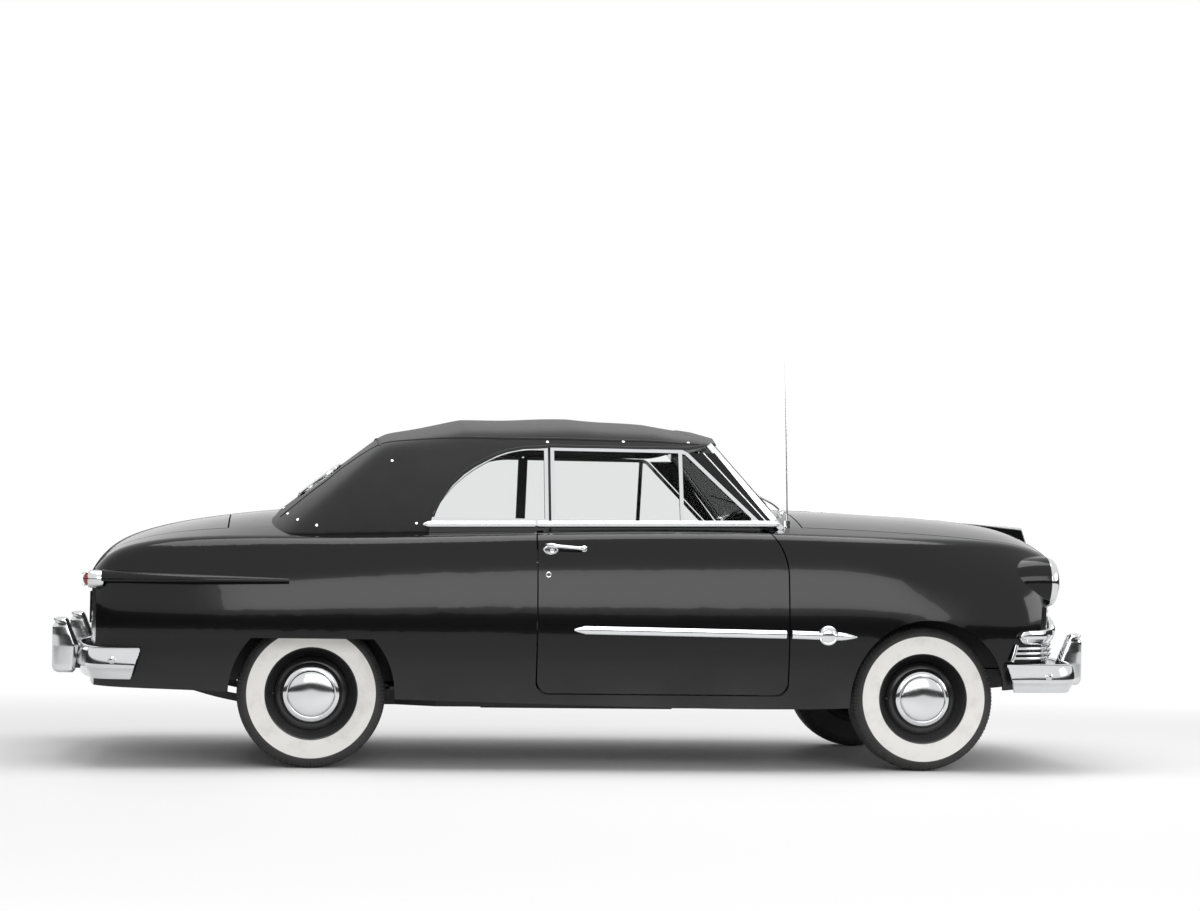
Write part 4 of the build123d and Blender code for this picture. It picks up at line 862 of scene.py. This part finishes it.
def door_linings():
    """A padded board on each door's inner face: its thickness is a rounded plateau cut by upright pleats in the middle
    panel, with bright strips above and below the pleats, an arm rest, a window crank and a pull handle."""
    (x0, z0), (x1, z1), wall = (-0.222, 0.430), (0.880, 1.026), -0.7990
    x = np.linspace(x0, x1, 220)[:, None]
    z = np.linspace(z0, z1, 90)
    margin = np.minimum(np.minimum(x - x0, x1 - x), np.minimum(z - z0, z1 - z))
    plateau = quarter_round(margin / 0.010)
    panel = ramp(z, 0.640, 0.008) * ramp(-z, -0.945, 0.008)
    pleats = np.abs(np.sin(np.pi * (x - x0) / 0.052)) ** 0.45
    front = grid(x, -0.7985 + 0.010 * plateau * (1 - 0.45 * panel * (1 - pleats)), z)
    back = front * (1, 0, 1) + (0, wall, 0)
    points = np.concatenate([front, back[:, ::-1]], axis=1)
    caps = points[[0, -1]] * (1, 0, 1) + (0, wall, 0)
    board = (np.concatenate([caps[:1], points, caps[1:]]), False, True)
    rest = block((-0.060, -0.790, 0.742), (0.250, -0.728, 0.792), 0.02)
    bright = [carried([(x0 + 0.012, -0.7880, height), (x1 - 0.012, -0.7880, height)], oval(0.0035, 0.0055, 10))
              for height in (0.632, 0.953)]
    for place, tip in (((0.330, -0.7890, 0.870), (0.245, -0.758, 0.905)), ((0.560, -0.7890, 0.890),
                                                                           (0.455, -0.762, 0.884))):
        place, tip = np.array(place), np.array(tip)
        bright.append(turned([(0, 0), (21, 0), (21, 6), (15, 11), (0, 13)], place, INWARD, 28))
        bend = place + (tip - place) * (0.25, 0.9, 0.25)
        bright.append(carried(curve_through([place + (0, 0.008, 0), bend, tip], 14), oval(0.0055, 0.0040, 10)))
    bright.append(turned([(0, 0), (10, 0), (13, 12), (10, 28), (0, 30)], (0.245, -0.760, 0.905), INWARD, 20))
    for side, turn in SIDES:
        door = "door_" + side
        piece(door + "_lining", "seat_leather", turn([board]), door, sharp=60)
        piece(door + "_arm_rest", "seat_leather", turn([rest]), door, sharp=60)
        piece(door + "_fittings", "chrome", turn(bright), door)


def floor_covering():
    """Carpet over the cabin floor and the tunnel: its height is the larger of the floor's and the tunnel's arc."""
    y = np.linspace(-0.775, 0.775, 240)
    z = np.maximum(0.3815, 0.366 + np.sqrt(np.maximum(0.1455**2 - y**2, 0)))
    points = grid(np.array([-0.890, -0.885, 0.920, 0.925])[:, None], np.concatenate([y, y[::-1]]),
                  np.concatenate([z, z[::-1] - 0.003]))
    piece("floor_carpet", "seat_leather", [(points, False, True)], finish=CARPET, sharp=50)


def cabin_fittings():
    """The mirror on the windshield header and two pedals with their arms."""
    header = Skin("windshield_frame").hit((0.2, 0.0, 1.560), AHEAD)
    glass = header + (-0.070, 0, -0.060)
    shell = block(glass - (0.008, 0.110, 0.027), glass + (0.008, 0.110, 0.027), 0.01)
    piece("rear_view_mirror", "chrome", [shell, rod([glass, header + (0.004, 0, 0)], 0.005)])
    pads = []
    for y in (0.300, 0.430):
        pads.append(block((0.800, y - 0.030, 0.480), (0.812, y + 0.030, 0.540), 0.006))
        pads.append(rod([(0.808, y, 0.510), (0.880, y, 0.560), (0.936, y, 0.640)], 0.007))
    piece("pedals", "tyre_rubber", pads)


# Engine bay

def engine_dressing():
    """What stands on and before the engine block: two ribbed head covers, the air cleaner on its carburettor, a fan
    with four twisted blades and its pulley, two hoses to the radiator, a filler cap and a battery on its tray."""
    engine, radiator = Skin("engine"), Skin("radiator")
    crown = engine.from_above(1.45, 0.0)
    heads = []
    for hand in (-1, 1):
        _, y, z = engine.from_above(1.45, 0.165 * hand)
        heads.append(block((1.180, y - 0.058, z - 0.004), (1.715, y + 0.058, z + 0.040), 0.012))
        for x in np.linspace(1.215, 1.680, 12):
            heads.append(turned([(0, -4), (10, -4), (10, 8), (0, 10)], (x, y + 0.040 * hand, z + 0.040), UP, 6))
    piece("engine_heads", "engine_iron", heads)
    cleaner = [(0, 0), (36, 0), (36, 30), (30, 40), (30, 58), (118, 62), (128, 70), (130, 105), (124, 118), (95, 126),
               (40, 130), (0, 131)]
    piece("air_cleaner", "black_paint", [turned(cleaner, crown, UP, 72)])
    hub = np.array([1.800, 0.0, 0.700])
    t = np.linspace(0, 1, 16)[:, None]
    width = 0.022 + 0.028 * np.sin(np.pi * np.clip(t, 0, 0.85))
    section = oval(1.0, 1.0, 12) * grid(width, 0.0016)
    blades = []
    for turn in np.radians((20, 110, 200, 290)):
        way = np.array([0, math.cos(turn), math.sin(turn)])
        chord = np.cross(AHEAD, way) * 0.88 + (0.47, 0, 0)
        blades.append(ended(rings_on(hub + way * (0.030 + 0.175 * t), chord[None], np.cross(chord, way)[None],
                                     section)))
    pulley = [(0, -45), (16, -45), (16, -20), (62, -18), (52, -10), (62, -2), (40, 4), (36, 16), (0, 18)]
    piece("fan", "black_steel", [turned(pulley, hub, AHEAD, 48), *blades], sharp=60)
    hoses = []
    for y in (-0.130, 0.130):
        start = np.array([1.700, y, crown[2] + 0.004])
        end = radiator.hit((1.5, y * 1.25, crown[2] + 0.015), AHEAD)
        hoses.append(rod(curve_through([start, start + (0.060, 0, 0.040), (start + end) / 2 + (0, 0, 0.030),
                                        end + (-0.040, 0, 0.004), end + (0.004, 0, 0)], 40), 0.021, 20))
    piece("radiator_hoses", "tyre_rubber", hoses)
    wing = turned([(0, 130), (10, 130), (10, 142), (0, 146)], crown, UP, 20)
    filler = [(0, -4), (22, -4), (22, 10), (30, 12), (30, 20), (12, 23), (0, 23)]
    piece("engine_bright", "chrome", [wing, turned(filler, radiator.from_above(2.060, 0.0), UP, 32)])
    case = block((1.010, -0.400, 0.800), (1.260, -0.262, 0.960), 0.008)
    tray = block((1.000, -0.4035, 0.784), (1.270, -0.255, 0.798))
    posts = [turned([(0, 0), (8, 0), (7, 16), (0, 17)], (x, -0.300, 0.960), UP, 20) for x in (1.045, 1.225)]
    piece("battery", "black_steel", [case, tray, *posts], finish=SLOT_FINISH["wheel_plastic"])


# Bright trim laid on the body

BELT_Y, SPEAR_NODES = -0.769, ("door_right", "quarter_right", "fender_right", "cowl", "nose_panel")


def strip_on(line, half_height, ends, rise=0.009):
    """A half-round moulding along a line on the body's side: its section swells by a rise, and narrows over the given
    shares of its length at its two ends."""
    t = np.linspace(0, 1, len(line))
    size = np.ones_like(t)
    for far, share in zip((t, 1 - t), ends):
        if share:
            size *= np.clip(far / share, 0.05, 1) ** 0.5
    a = round_angles(14)
    section = grid(np.maximum(np.cos(a), -0.35) * rise, np.sin(a))
    section = np.sign(section) * np.abs(section) ** np.array([1.0, 0.8])
    return carried(line, section * grid(0.45 + 0.55 * size, size * half_height)[:, None])


def side_trim():
    """The belt mouldings under the windows and the long side spear, split at the doors, with its plain round boss at
    the front end."""
    shell = Skin(*SPEAR_NODES)
    for name, xs, zs, half, ends in (
        ("belt_strip_0", (-0.787, -0.262), (1.1328, 1.1421), 0.016, (0.05, 0)),
        ("belt_strip_door_", (-0.248, 0.905), (1.1424, 1.163), 0.016, (0, 0.02)),
        ("spear_strip_door_", (-0.086, 0.913), (0.656, 0.646), 0.019, (0.05, 0)),
        ("spear_strip_1", (0.941, 1.250), (0.646, 0.638), 0.019, (0, 0.25)),
    ):
        x, z = np.linspace(*xs, 60), np.linspace(*zs, 60)
        line = grid(x, BELT_Y, z) if name.startswith("belt") else [shell.from_right(*spot) for spot in zip(x, z)]
        sheet = strip_on(line, half, ends)
        if "door" not in name:
            piece(name, "chrome", both_sides(sheet))
            continue
        for side, turn in SIDES:
            piece(name + side, "chrome", turn([sheet]), "door_" + side)
    boss = [(0, -6), (46, -6), (47, 4), (45, 8), (41, 8.5), (37, 6), (33, 6), (30, 9), (18, 12.5), (0, 13.5)]
    piece("side_boss", "chrome", both_sides(turned(boss, shell.from_right(1.112, 0.644), RIGHT, 64)))


WINDOW_LEAN = (0.755 - 0.645) / (1.510 - 1.150)


def on_windows(x, z):
    """Points in the plane of the right side windows, which lean in."""
    return grid(x, WINDOW_LEAN * (z - 1.150) - 0.755, z)


def post_seals():
    """The black strip behind the upright posts where the door's and the quarter window's frames meet."""
    line = on_windows(-0.190, np.linspace(1.105, 1.500, 12)) + (0, 0.014, 0)
    piece("post_seals", "tyre_rubber", both_sides(carried(line, oval(0.024, 0.0045, 16, 8.0), INWARD)))


def pillar_covers():
    """The black cover on each windshield pillar: a tapered plate in the side windows' plane, from the vent window's
    slanted edge to the windshield frame, with one thin bright bead along it."""
    rear, front = (np.linspace(*ends, 24).T for ends in (((0.485, 1.494), (0.819, 1.172)),
                                                         ((0.607, 1.497), (0.884, 1.150))))
    out = unit(np.array([0, -1.0, WINDOW_LEAN]))
    back, fore, middle = (on_windows(*spots) for spots in (rear, front, rear * 0.45 + front * 0.55))
    corners = [(back, 0.003), (back, 0.006), (fore, 0.006), (fore, 0.003), (fore, -0.007), (back, -0.007)]
    plate = ended(np.stack([spots + out * depth for spots, depth in corners], axis=1))
    piece("pillar_covers", "black_paint", both_sides(plate))
    piece("pillar_beads", "chrome", both_sides(carried(middle + out * 0.0065, oval(0.0035, 0.003, 12), INWARD)))


def door_handles():
    """A pull handle on each door: a rounded diamond plate with a push button, a long grip that bows off the skin
    from the plate's upper edge to a round foot and, below it, a small key lock."""
    shell = Skin("door_right")
    t = np.linspace(0, 1, 40)
    base = np.array([shell.from_right(*spot) for spot in zip(np.linspace(-0.217, -0.034, 40),
                                                             np.linspace(1.046, 1.032, 40))])
    bow = 0.034 * np.clip(np.sin(np.pi * t), 0, 1) ** 0.35
    size = 0.80 + 0.35 * np.exp(-((t - 0.14) / 0.12) ** 2) + 0.25 * np.exp(-((t - 0.95) / 0.1) ** 2)
    grip = carried(base + np.array([0, -1.0, 0]) * (bow[:, None] - 0.004),
                   oval(0.0070, 0.0098, 16, 2.4) * size[:, None, None])
    outline = oval(0.036, 0.027, 48, 1.55)
    reach, rise = np.array([(0, -0.004), (1.0, -0.004), (1.02, 0.002), (0.93, 0.006), (0.86, 0.0065), (0.80, 0.0085),
                            (0, 0.010)]).T[..., None]
    x, y, z = shell.from_right(-0.196, 1.024)
    plate = grid(x + reach * outline[:, 0], y - rise, z + reach * outline[:, 1])
    foot = [(0, -4), (15, -4), (15.5, 2), (14, 6), (0, 8.5)]
    button = [(0, 0), (10.5, 0), (11.5, 18), (10, 21), (8, 20), (0, 20.5)]
    lock = [(0, -4), (13.5, -4), (13.5, 2), (11, 4.5), (8.5, 4), (8, 6), (2, 6), (1.8, 3), (0, 3)]
    sheets = [grip, (plate, False, True)]
    for part, spot in ((foot, (-0.040, 1.032)), (button, (-0.191, 1.020)), (lock, (-0.207, 0.909))):
        sheets.append(turned(part, shell.from_right(*spot), RIGHT, 40))
    for side, turn in SIDES:
        piece("door_handle_" + side, "chrome", turn(sheets), "door_" + side)


def bumper_bolts():
    """Domed bolt heads and washers on both bumpers' faces."""
    head = [(0, -6), (17, -6), (18, 1), (15, 4), (12, 4), (11.5, 8), (8, 11.5), (0, 12.5)]
    sheets = []
    for node, end, z, side_spot in (("front_bumper", 1, 0.45, (2.187, 0.460)), ("rear_bumper", -1, 0.48,
                                                                               (-2.189, 0.494))):
        bar = Skin(node)
        for y in (-0.25, 0.25):
            sheets.append(turned(head, bar.hit((end * 4.0, y, z), (-end, 0, 0)), (end, 0.12 * np.sign(y), 0), 28))
        sheets += both_sides(turned(head, bar.from_right(*side_spot), (end * 0.25, -1, 0), 28))
    piece("bumper_bolts", "chrome", sheets)


def wipers():
    """Two wiper arms and blades lying along the windshield's foot, each on its own spindle cap."""
    glass = Skin("windshield_glass", "windshield_frame", "cowl")
    for hand, name in ((-1, "right"), (1, "left")):
        spindle = glass.from_above(0.995, 0.335 * hand)
        cap = turned([(0, -10), (17, -10), (16, 12), (11, 20), (0, 22)], spindle, (0.2, 0, 1), 28)
        blade = np.array([glass.hit((1.6, y * hand, 1.262 + 0.055 * (y - 0.30) / 0.3), BACK)
                          for y in np.linspace(0.30, 0.60, 24)]) + (0.010, 0, 0.004)
        arm = curve_through([spindle + (0, 0, 0.015), (spindle + blade[12]) / 2 + (0.012, 0, 0.010),
                             blade[12] + (0.006, 0, 0.002)], 20)
        piece("wiper_" + name, "chrome", [cap, carried(arm, oval(0.0035, 0.0055, 10)),
                                          carried(blade + (0.004, 0, 0), oval(0.003, 0.0045, 10))])
        piece("wiper_rubber_" + name, "tyre_rubber", [carried(blade, oval(0.0045, 0.0030, 8))])


# Bumpers, grille, lamps and hood ornament

def face_bar(corners, radii, half, start_x, run, shear, end):
    """A bumper's face bar: its section has a rolled top flange, a shallow groove, a full face down to a crease and a
    lip that turns under. The rows near each end are sheared so that the ends slant back from top to bottom."""
    section = np.array([
        (-0.034, half - 0.004), (-0.028, half), (-0.019, half), (-0.0145, half - 0.003), (-0.0140, half - 0.008),
        (-0.0150, half - 0.012), (-0.0125, half - 0.017), (-0.008, half * 0.62), (-0.003, half * 0.32), (0, 0.0),
        (0.0005, -0.22 * half), (-0.001, -0.30 * half), (-0.0065, -0.37 * half), (-0.017, -0.62 * half),
        (-0.026, -0.90 * half), (-0.031, -half), (-0.036, -half), (-0.037, -0.94 * half), (-0.028, -0.60 * half),
        (-0.014, -0.34 * half), (-0.008, -0.2 * half), (-0.012, 0.35 * half), (-0.024, half - 0.016),
    ])
    rings = rings_along(rounded_path(corners, radii), section * (end, 1))
    x = rings[..., 0]
    v = np.clip((rings[..., 2] - corners[0][2]) / half, -1, 1)
    wanted = start_x + shear * (1 - v) / 2 + end * 0.014 * ramp(v, 0.72, 0.28) ** 2
    begin = start_x + end * run
    share = (begin - x) / (begin - corners[0][0])
    rings[..., 0] = np.where((x - begin) * end < 0, begin - share * (begin - wanted), x)
    return ended(rings)


def guard(rows, y, end):
    """An upright guard: squared ovals stacked up its height, each between its own rear and front x, with a thumb
    notch under the top and a fin line down its face."""
    height, *rows = np.array(rows).T / 1000
    z = np.linspace(height[0], height[-1], 44)[:, None]
    rear, front, half = (np.interp(z, height, row) for row in rows)
    t = round_angles(40)
    c, s = np.cos(t), np.sin(t)
    reach = np.abs(c) ** 0.5 * np.sign(c) * np.where(c > 0, 1 - 0.22 * np.abs(s) ** 1.4, 1)
    x = (rear + front) / 2 + (front - rear) / 2 * reach
    return ended(grid(x * end, y + half * np.sign(s) * np.abs(s) ** 0.55, z))


# The guards' sections, in millimetres: height, rear and front x, half width
FRONT_GUARD = [(400, 2388, 2470, 26), (408, 2380, 2486, 33), (430, 2378, 2493.5, 35), (505, 2367, 2494, 35),
               (560, 2390, 2494, 34), (606, 2411, 2493.8, 32), (618, 2416, 2489, 31), (626, 2420, 2482, 31),
               (634, 2424, 2488, 31), (643, 2428, 2490, 30), (649, 2433, 2484, 26), (651, 2440, 2474, 18)]
REAR_GUARD = [(415, 2395, 2470, 26), (424, 2385, 2486, 33), (445, 2380, 2493.5, 35), (540, 2369, 2494, 35),
              (590, 2392, 2494, 34), (626, 2408, 2493.8, 32), (638, 2412, 2489, 31), (646, 2415, 2481, 31),
              (655, 2419, 2487, 31), (664, 2423, 2490, 30), (670, 2428, 2484, 26), (672, 2436, 2472, 18)]


def bumpers():
    """Both bumpers: the face bar, two guards, and the irons back to the frame."""
    for name, end, corners, radii, bar, rows, guard_y, iron in (
        ("front_bumper", 1, [(1.972, -0.924, 0.4515), (2.330, -0.906, 0.4515), (2.506, 0, 0.4515)], (0.15, 3.4, 0.15),
         (0.0685, 1.981, 0.12, 0.043), FRONT_GUARD, 0.450, ((2.10, 0.402, 0.425), (2.42, 0.440, 0.475))),
        ("rear_bumper", -1, [(-2.050, -0.924, 0.480), (-2.290, -0.906, 0.480), (-2.496, 0, 0.480)], (0.15, 3.0, 0.15),
         (0.073, -2.060, 0.12, -0.047), REAR_GUARD, 0.480, ((2.20, 0.457, 0.435), (2.42, 0.495, 0.485))),
    ):
        corners += [(x, -y, z) for x, y, z in reversed(corners[:2])]
        guards = [guard(rows, y, end) for y in (-guard_y, guard_y)]
        irons = [block(*np.array(iron) * (end, hand, 1)) for hand in (-1, 1)]
        piece(name + "_bright", "chrome", [face_bar(corners, radii, *bar, end), *guards], replaced=(name,), sharp=40)
        piece(name + "_irons", "black_steel", irons)


NOSE_HEART_X, BAR_Z = 1.30, 0.644


def round_the_nose(skin, z, reach):
    """A level line round the car's nose at one height: where rays towards a point inside meet the skin."""
    heart = np.array([NOSE_HEART_X, 0.0, z])
    ways = [np.array([math.cos(a), math.sin(a), 0.0]) for a in np.linspace(-reach, reach, 141)]
    return np.array([skin.hit(heart + way * 2.5, -way) for way in ways])


def grille():
    """The bright grille: a full bar that wraps round the nose with rounded ends, two round bosses with stepped rings
    and plain domes, a post beside each, and three thin bars below whose ends step back."""
    depth = np.array([(-0.030, 0.034), (-0.014, 0.0355), (-0.004, 0.031), (-0.001, 0.022), (0.0, 0.008),
                      (-0.0005, -0.004), (-0.004, -0.008), (-0.012, -0.020), (-0.020, -0.031), (-0.026, -0.0355),
                      (-0.034, -0.034), (-0.034, 0.030)])
    reach = math.atan2(0.898, 2.029 - NOSE_HEART_X)
    path = round_the_nose(Skin("grille"), BAR_Z, reach - 0.002)
    path = np.vstack([path[:1], (path[:-2] + path[1:-1] * 2 + path[2:]) / 4, path[-1:]])
    t = np.linspace(0, 1, len(path))
    round_off = quarter_round(np.minimum(t, 1 - t) / 0.022, 0.02)
    sheets = [carried(path, depth * grid(0.55 + 0.45 * round_off, round_off)[:, None])]
    inward = unit(path - (NOSE_HEART_X, 0, BAR_Z))
    joints = []
    for z, rear in ((0.592, 2.027), (0.569, 2.020), (0.546, 2.013)):
        thin = path - inward * 0.022
        thin[:, 2] = z
        thin = thin[thin[:, 0] > rear + 0.004]
        tails = [end + (end - near) * (rear - end[0]) / (end[0] - near[0])
                 for end, near in ((thin[0], thin[4]), (thin[-1], thin[-5]))]
        joints.append(tails)
        sheets.append(carried(np.vstack([tails[:1], thin, tails[1:]]), oval(0.0075, 0.0068, 12, 2.6)))
    step = np.array([0.0055, 0, 0.017])
    for upper, middle, lower in np.swapaxes(joints, 0, 1):
        sheets.append(carried([upper + step, upper, middle, lower, lower - step], oval(0.0045, 0.0085, 16, 3.0)))
    boss = [(0, -30), (71, -30), (71.5, 12), (69, 18), (64, 19), (61, 15), (58, 17), (56, 26), (50, 33), (42, 37),
            (38, 36.5), (36, 39), (26, 44.5), (14, 46.5), (0, 47)]
    sheets += [turned(boss, (2.345, y, 0.664), AHEAD, 64) for y in (-0.335, 0.335)]
    sheets += [block((2.294, y - 0.008, 0.5405), (2.318, y + 0.008, 0.7895)) for y in (-0.480, 0.480)]

    def bow(y):
        return -0.146 * (y / 0.7) ** 2

    frame_line = rounded_path([(0, -0.512, 0.548), (0, -0.512, 0.782), (0, 0.512, 0.782), (0, 0.512, 0.548)],
                              (0.05, 0.05), 0.015)
    frame_line[:, 0] = 2.373 + bow(frame_line[:, 1])
    sheets.append(carried(frame_line, oval(0.009, 0.007, 12), AHEAD))
    piece("grille_bright", "chrome", sheets, replaced=("grille",), sharp=45)
    u, v = np.meshgrid(np.linspace(-1, 1, 121), np.linspace(0, 1, 31), indexing="ij")
    backing = grid(2.300 + bow(u * 0.5) + 0.004 * np.sin(u * np.pi * 60), u * 0.500, 0.50 + v * 0.27)
    piece("grille_backing", "black_steel", [(backing, False, False)], closed=False)


HEADLAMP, TAIL_LAMP = np.array([2.226, 0.700, 0.906]), np.array([-2.240, 0.795, 0.858])


def lamps():
    """Headlamps: a bright rolled rim, a bowl, a bulb and a domed ribbed lens. Tail lamps: a bright tube with a
    rounded lip, a small domed lens and two fins that hold it."""
    rim = [(94, -20), (118, -20), (119.5, -4), (120.5, 4), (119, 15), (115, 26), (109, 35), (103, 39), (98, 38),
           (95.5, 33), (95, 24), (92, 10), (94, -20)]
    lens_r = np.linspace(95.8, 0, 20)
    arc = np.sqrt(np.clip(1 - (lens_r / 95.8) ** 2, 0, 1))
    inner = grid(lens_r * 0.985, 27 + 29 * arc)[::-1]
    lens = np.vstack([grid(lens_r, 31 + 31 * arc), inner[:-1], [(94.5, 26), (95.8, 31)]])
    bowl_r = np.linspace(93.5, 12, 16)
    bowl = grid(bowl_r, 24 - 75 * (1 - (bowl_r / 93.5) ** 2))
    bowl = np.vstack([bowl, [(0, -49), (0, -56)], bowl[::-1] - (-2, 4), bowl[:1]])
    bulb = [(0, -50), (9, -50), (9, -26), (10.5, -18), (8, -9), (0, -6)]
    tube = [(0, 0), (38.5, 0), (40.5, 4), (41, 30), (41, 58), (39.5, 66), (36.5, 70.5), (33, 71), (30, 68), (29, 62),
            (0, 62)]
    dome_r = np.linspace(27, 0, 12)
    dome = np.vstack([[(0, 60), (27, 60), (27, 75)], grid(dome_r, 75 + 19 * np.sqrt(1 - (dome_r / 27) ** 2))])

    def pair(profile, seat, count):
        axis = AHEAD if seat[0] > 0 else BACK
        return [turned(profile, seat * (1, hand, 1), axis, count) for hand in (-1, 1)]

    bright = pair(rim, HEADLAMP, 96)
    for hand, tail_rim in zip((-1, 1), pair(tube, TAIL_LAMP, 64)):
        bright.append(tail_rim)
        for z in (-0.0275, 0.0275):
            fin = TAIL_LAMP * (1, hand, 1) + np.array([(-0.060, 0, z), (-0.085, 0, z * 1.04), (-0.0995, 0, z * 0.9)])
            bright.append(carried(fin, oval(0.013, 0.0028, 16, 3.0)))
    piece("lamp_rims_bright", "chrome", bright, replaced=("lamp_rims",), sharp=50)
    piece("headlamp_lenses", "glass", pair(lens, HEADLAMP, 96), replaced=("headlamp_glasses",), finish=LENS, sharp=50)
    piece("headlamp_bowls", "chrome", pair(bowl, HEADLAMP, 64), sharp=50)
    piece("headlamp_bulbs", "glass", pair(bulb, HEADLAMP, 24), finish=WHITE, sharp=50)
    piece("tail_lamp_lenses", "red_lens", pair(dome, TAIL_LAMP, 48), replaced=("tail_lamp_glasses",), sharp=50)


def hood_ornament():
    """A thin dark blade on the hood's middle line with a bright rod along its top and down its front."""
    line = rounded_path([(1.150, 0, 1.2415), (1.700, 0, 1.2190), (1.960, 0, 1.1960), (2.322, 0, 1.1650),
                         (2.356, 0, 1.060)], (2.0, 2.0, 0.012), 0.006)
    size = 0.55 + 0.45 * np.clip(np.linspace(0, 1, len(line)) / 0.35, 0, 1)
    bar = carried(line, oval(0.0075, 0.0060) * size[:, None, None], INWARD)
    piece("ornament_rod", "chrome", [bar], "hood", ("hood_ornament",), sharp=60)
    top = line[line[:, 0] > 1.90]
    v = np.linspace(0, 1, 8)
    low = np.interp(top[:, 0], [1.90, 2.05, 2.20, 2.30, 2.356], [1.188, 1.165, 1.118, 1.070, 1.030])
    z = top[:, 2:] * (1 - v) + np.minimum(low, top[:, 2])[:, None] * v
    right, left = (grid(top[:, :1], y, z) for y in (-0.0035, 0.0035))
    piece("ornament_blade", "black_paint", [ended(np.concatenate([right, left[:, ::-1]], axis=1))], "hood", sharp=30)


# Dress the frame

def dress_nodes():
    """Gives each CAD node the finish of its record slot."""
    slots = {part["node"]: part["material_slot"] for part in frame["record"]["subparts"]}
    for name, node in NODES.items():
        node.data.materials.clear()
        node.data.materials.append(FRAMES if name in FRAME_NODES else SLOT_FINISH[slots[name]])


dress_nodes()
for END, X in (("front", FRONT_X), ("rear", REAR_X)):
    for SIDE, HAND in (("right", -1), ("left", 1)):
        tyre(f"{END}_{SIDE}", X, HAND)
        wheel(f"{END}_{SIDE}", X, HAND)
for BUILD in (fabric_top, side_trim, door_handles, post_seals, pillar_covers, bumpers, bumper_bolts, grille, lamps,
              hood_ornament, wipers, steering_wheel, dashboard, door_linings, floor_covering, cabin_fittings,
              engine_dressing):
    BUILD()
for ROW, PLEATS in (("front", 22), ("rear", 16)):
    seat_pad(ROW + "_seat_cushion", 2, PLEATS, 1.0)
    seat_pad(ROW + "_seat_back", 0, PLEATS, 1.27)


# Studio

FLOOR_REACH, SCREEN_R, SCREEN_TOP, LIGHT_AIM, FARTHEST_SEEN = 60.0, 17.0, 2.6, (0, 0, 0.7), 200.0
# The camera fitted to the photograph: its place in metres, its turn in degrees, its lens and its film in millimetres
EYE, YAW_PITCH_ROLL = (-1.4119, -12.2584, 1.0574), (7.2006, 2.0488, 0.9546)
FOCAL_LENGTH, FILM_WIDTH = 73.85, 36.0


def staged(name, mesh, finish):
    """A thing that isn't part of the car."""
    made = placed(name, mesh)
    mesh.materials.append(finish)
    return made


def studio():
    """A pale floor, a white surround for the camera, glass and metal, a low dark screen that only metal and paint
    mirror, and broad soft lights at a plain level."""
    reach = np.array([-FLOOR_REACH, FLOOR_REACH])
    corners = grid(reach[:, None], reach, 0.0)
    staged("studio_floor", mesh_of("studio_floor", [(corners, False, False)], closed=False), ground())
    world = bpy.data.worlds.new("studio_surround")
    bpy.context.scene.world = world
    surround = Shader(world, "Background")
    surround.set(Color=(1, 1, 1), Strength=0.55 + 0.45 * surround.seen())
    t = round_angles(64)[:, None]
    ring = grid(np.cos(t) * SCREEN_R, np.sin(t) * SCREEN_R, np.array([0, SCREEN_TOP]))
    screen = staged("studio_screen", mesh_of("studio_screen", [(ring, True, False)], closed=False), SCREEN)
    screen.visible_camera = screen.visible_diffuse = screen.visible_transmission = screen.visible_shadow = False
    for name, place, size, power in (
        ("overhead", (0.2, -0.6, 5.2), (6.5, 3.2), 260.0),
        ("side_fill", (1.0, -8.5, 3.4), (7.0, 2.6), 200.0),
        ("front_fill", (7.5, -3.0, 2.8), (3.0, 2.2), 90.0),
    ):
        lamp = bpy.data.lights.new(name, "AREA")
        lamp.shape = "RECTANGLE"
        lamp.size, lamp.size_y = size
        lamp.energy = power
        light = placed(name, lamp)
        light.location = place
        light.rotation_euler = (Vector(LIGHT_AIM) - Vector(place)).to_track_quat("-Z", "Y").to_euler()


def camera():
    """The camera at the photograph's place, turn and lens."""
    yaw, pitch, roll = np.radians(YAW_PITCH_ROLL).tolist()
    ahead = Vector((math.sin(yaw) * math.cos(pitch), math.cos(yaw) * math.cos(pitch), math.sin(pitch)))
    right = Vector((math.cos(yaw), -math.sin(yaw), 0))
    up = right.cross(ahead)
    side = right * math.cos(roll) + up * math.sin(roll)
    top = up * math.cos(roll) - right * math.sin(roll)
    lens = bpy.data.cameras.new("view")
    lens.sensor_width = FILM_WIDTH
    lens.lens = FOCAL_LENGTH
    lens.clip_end = FARTHEST_SEEN
    eye = placed("view", lens)
    eye.matrix_world = Matrix.Translation(EYE) @ Matrix((side, top, -ahead)).transposed().to_4x4()
    bpy.context.scene.camera = eye


studio()
camera()
bpy.context.scene.view_settings.view_transform = "Standard"
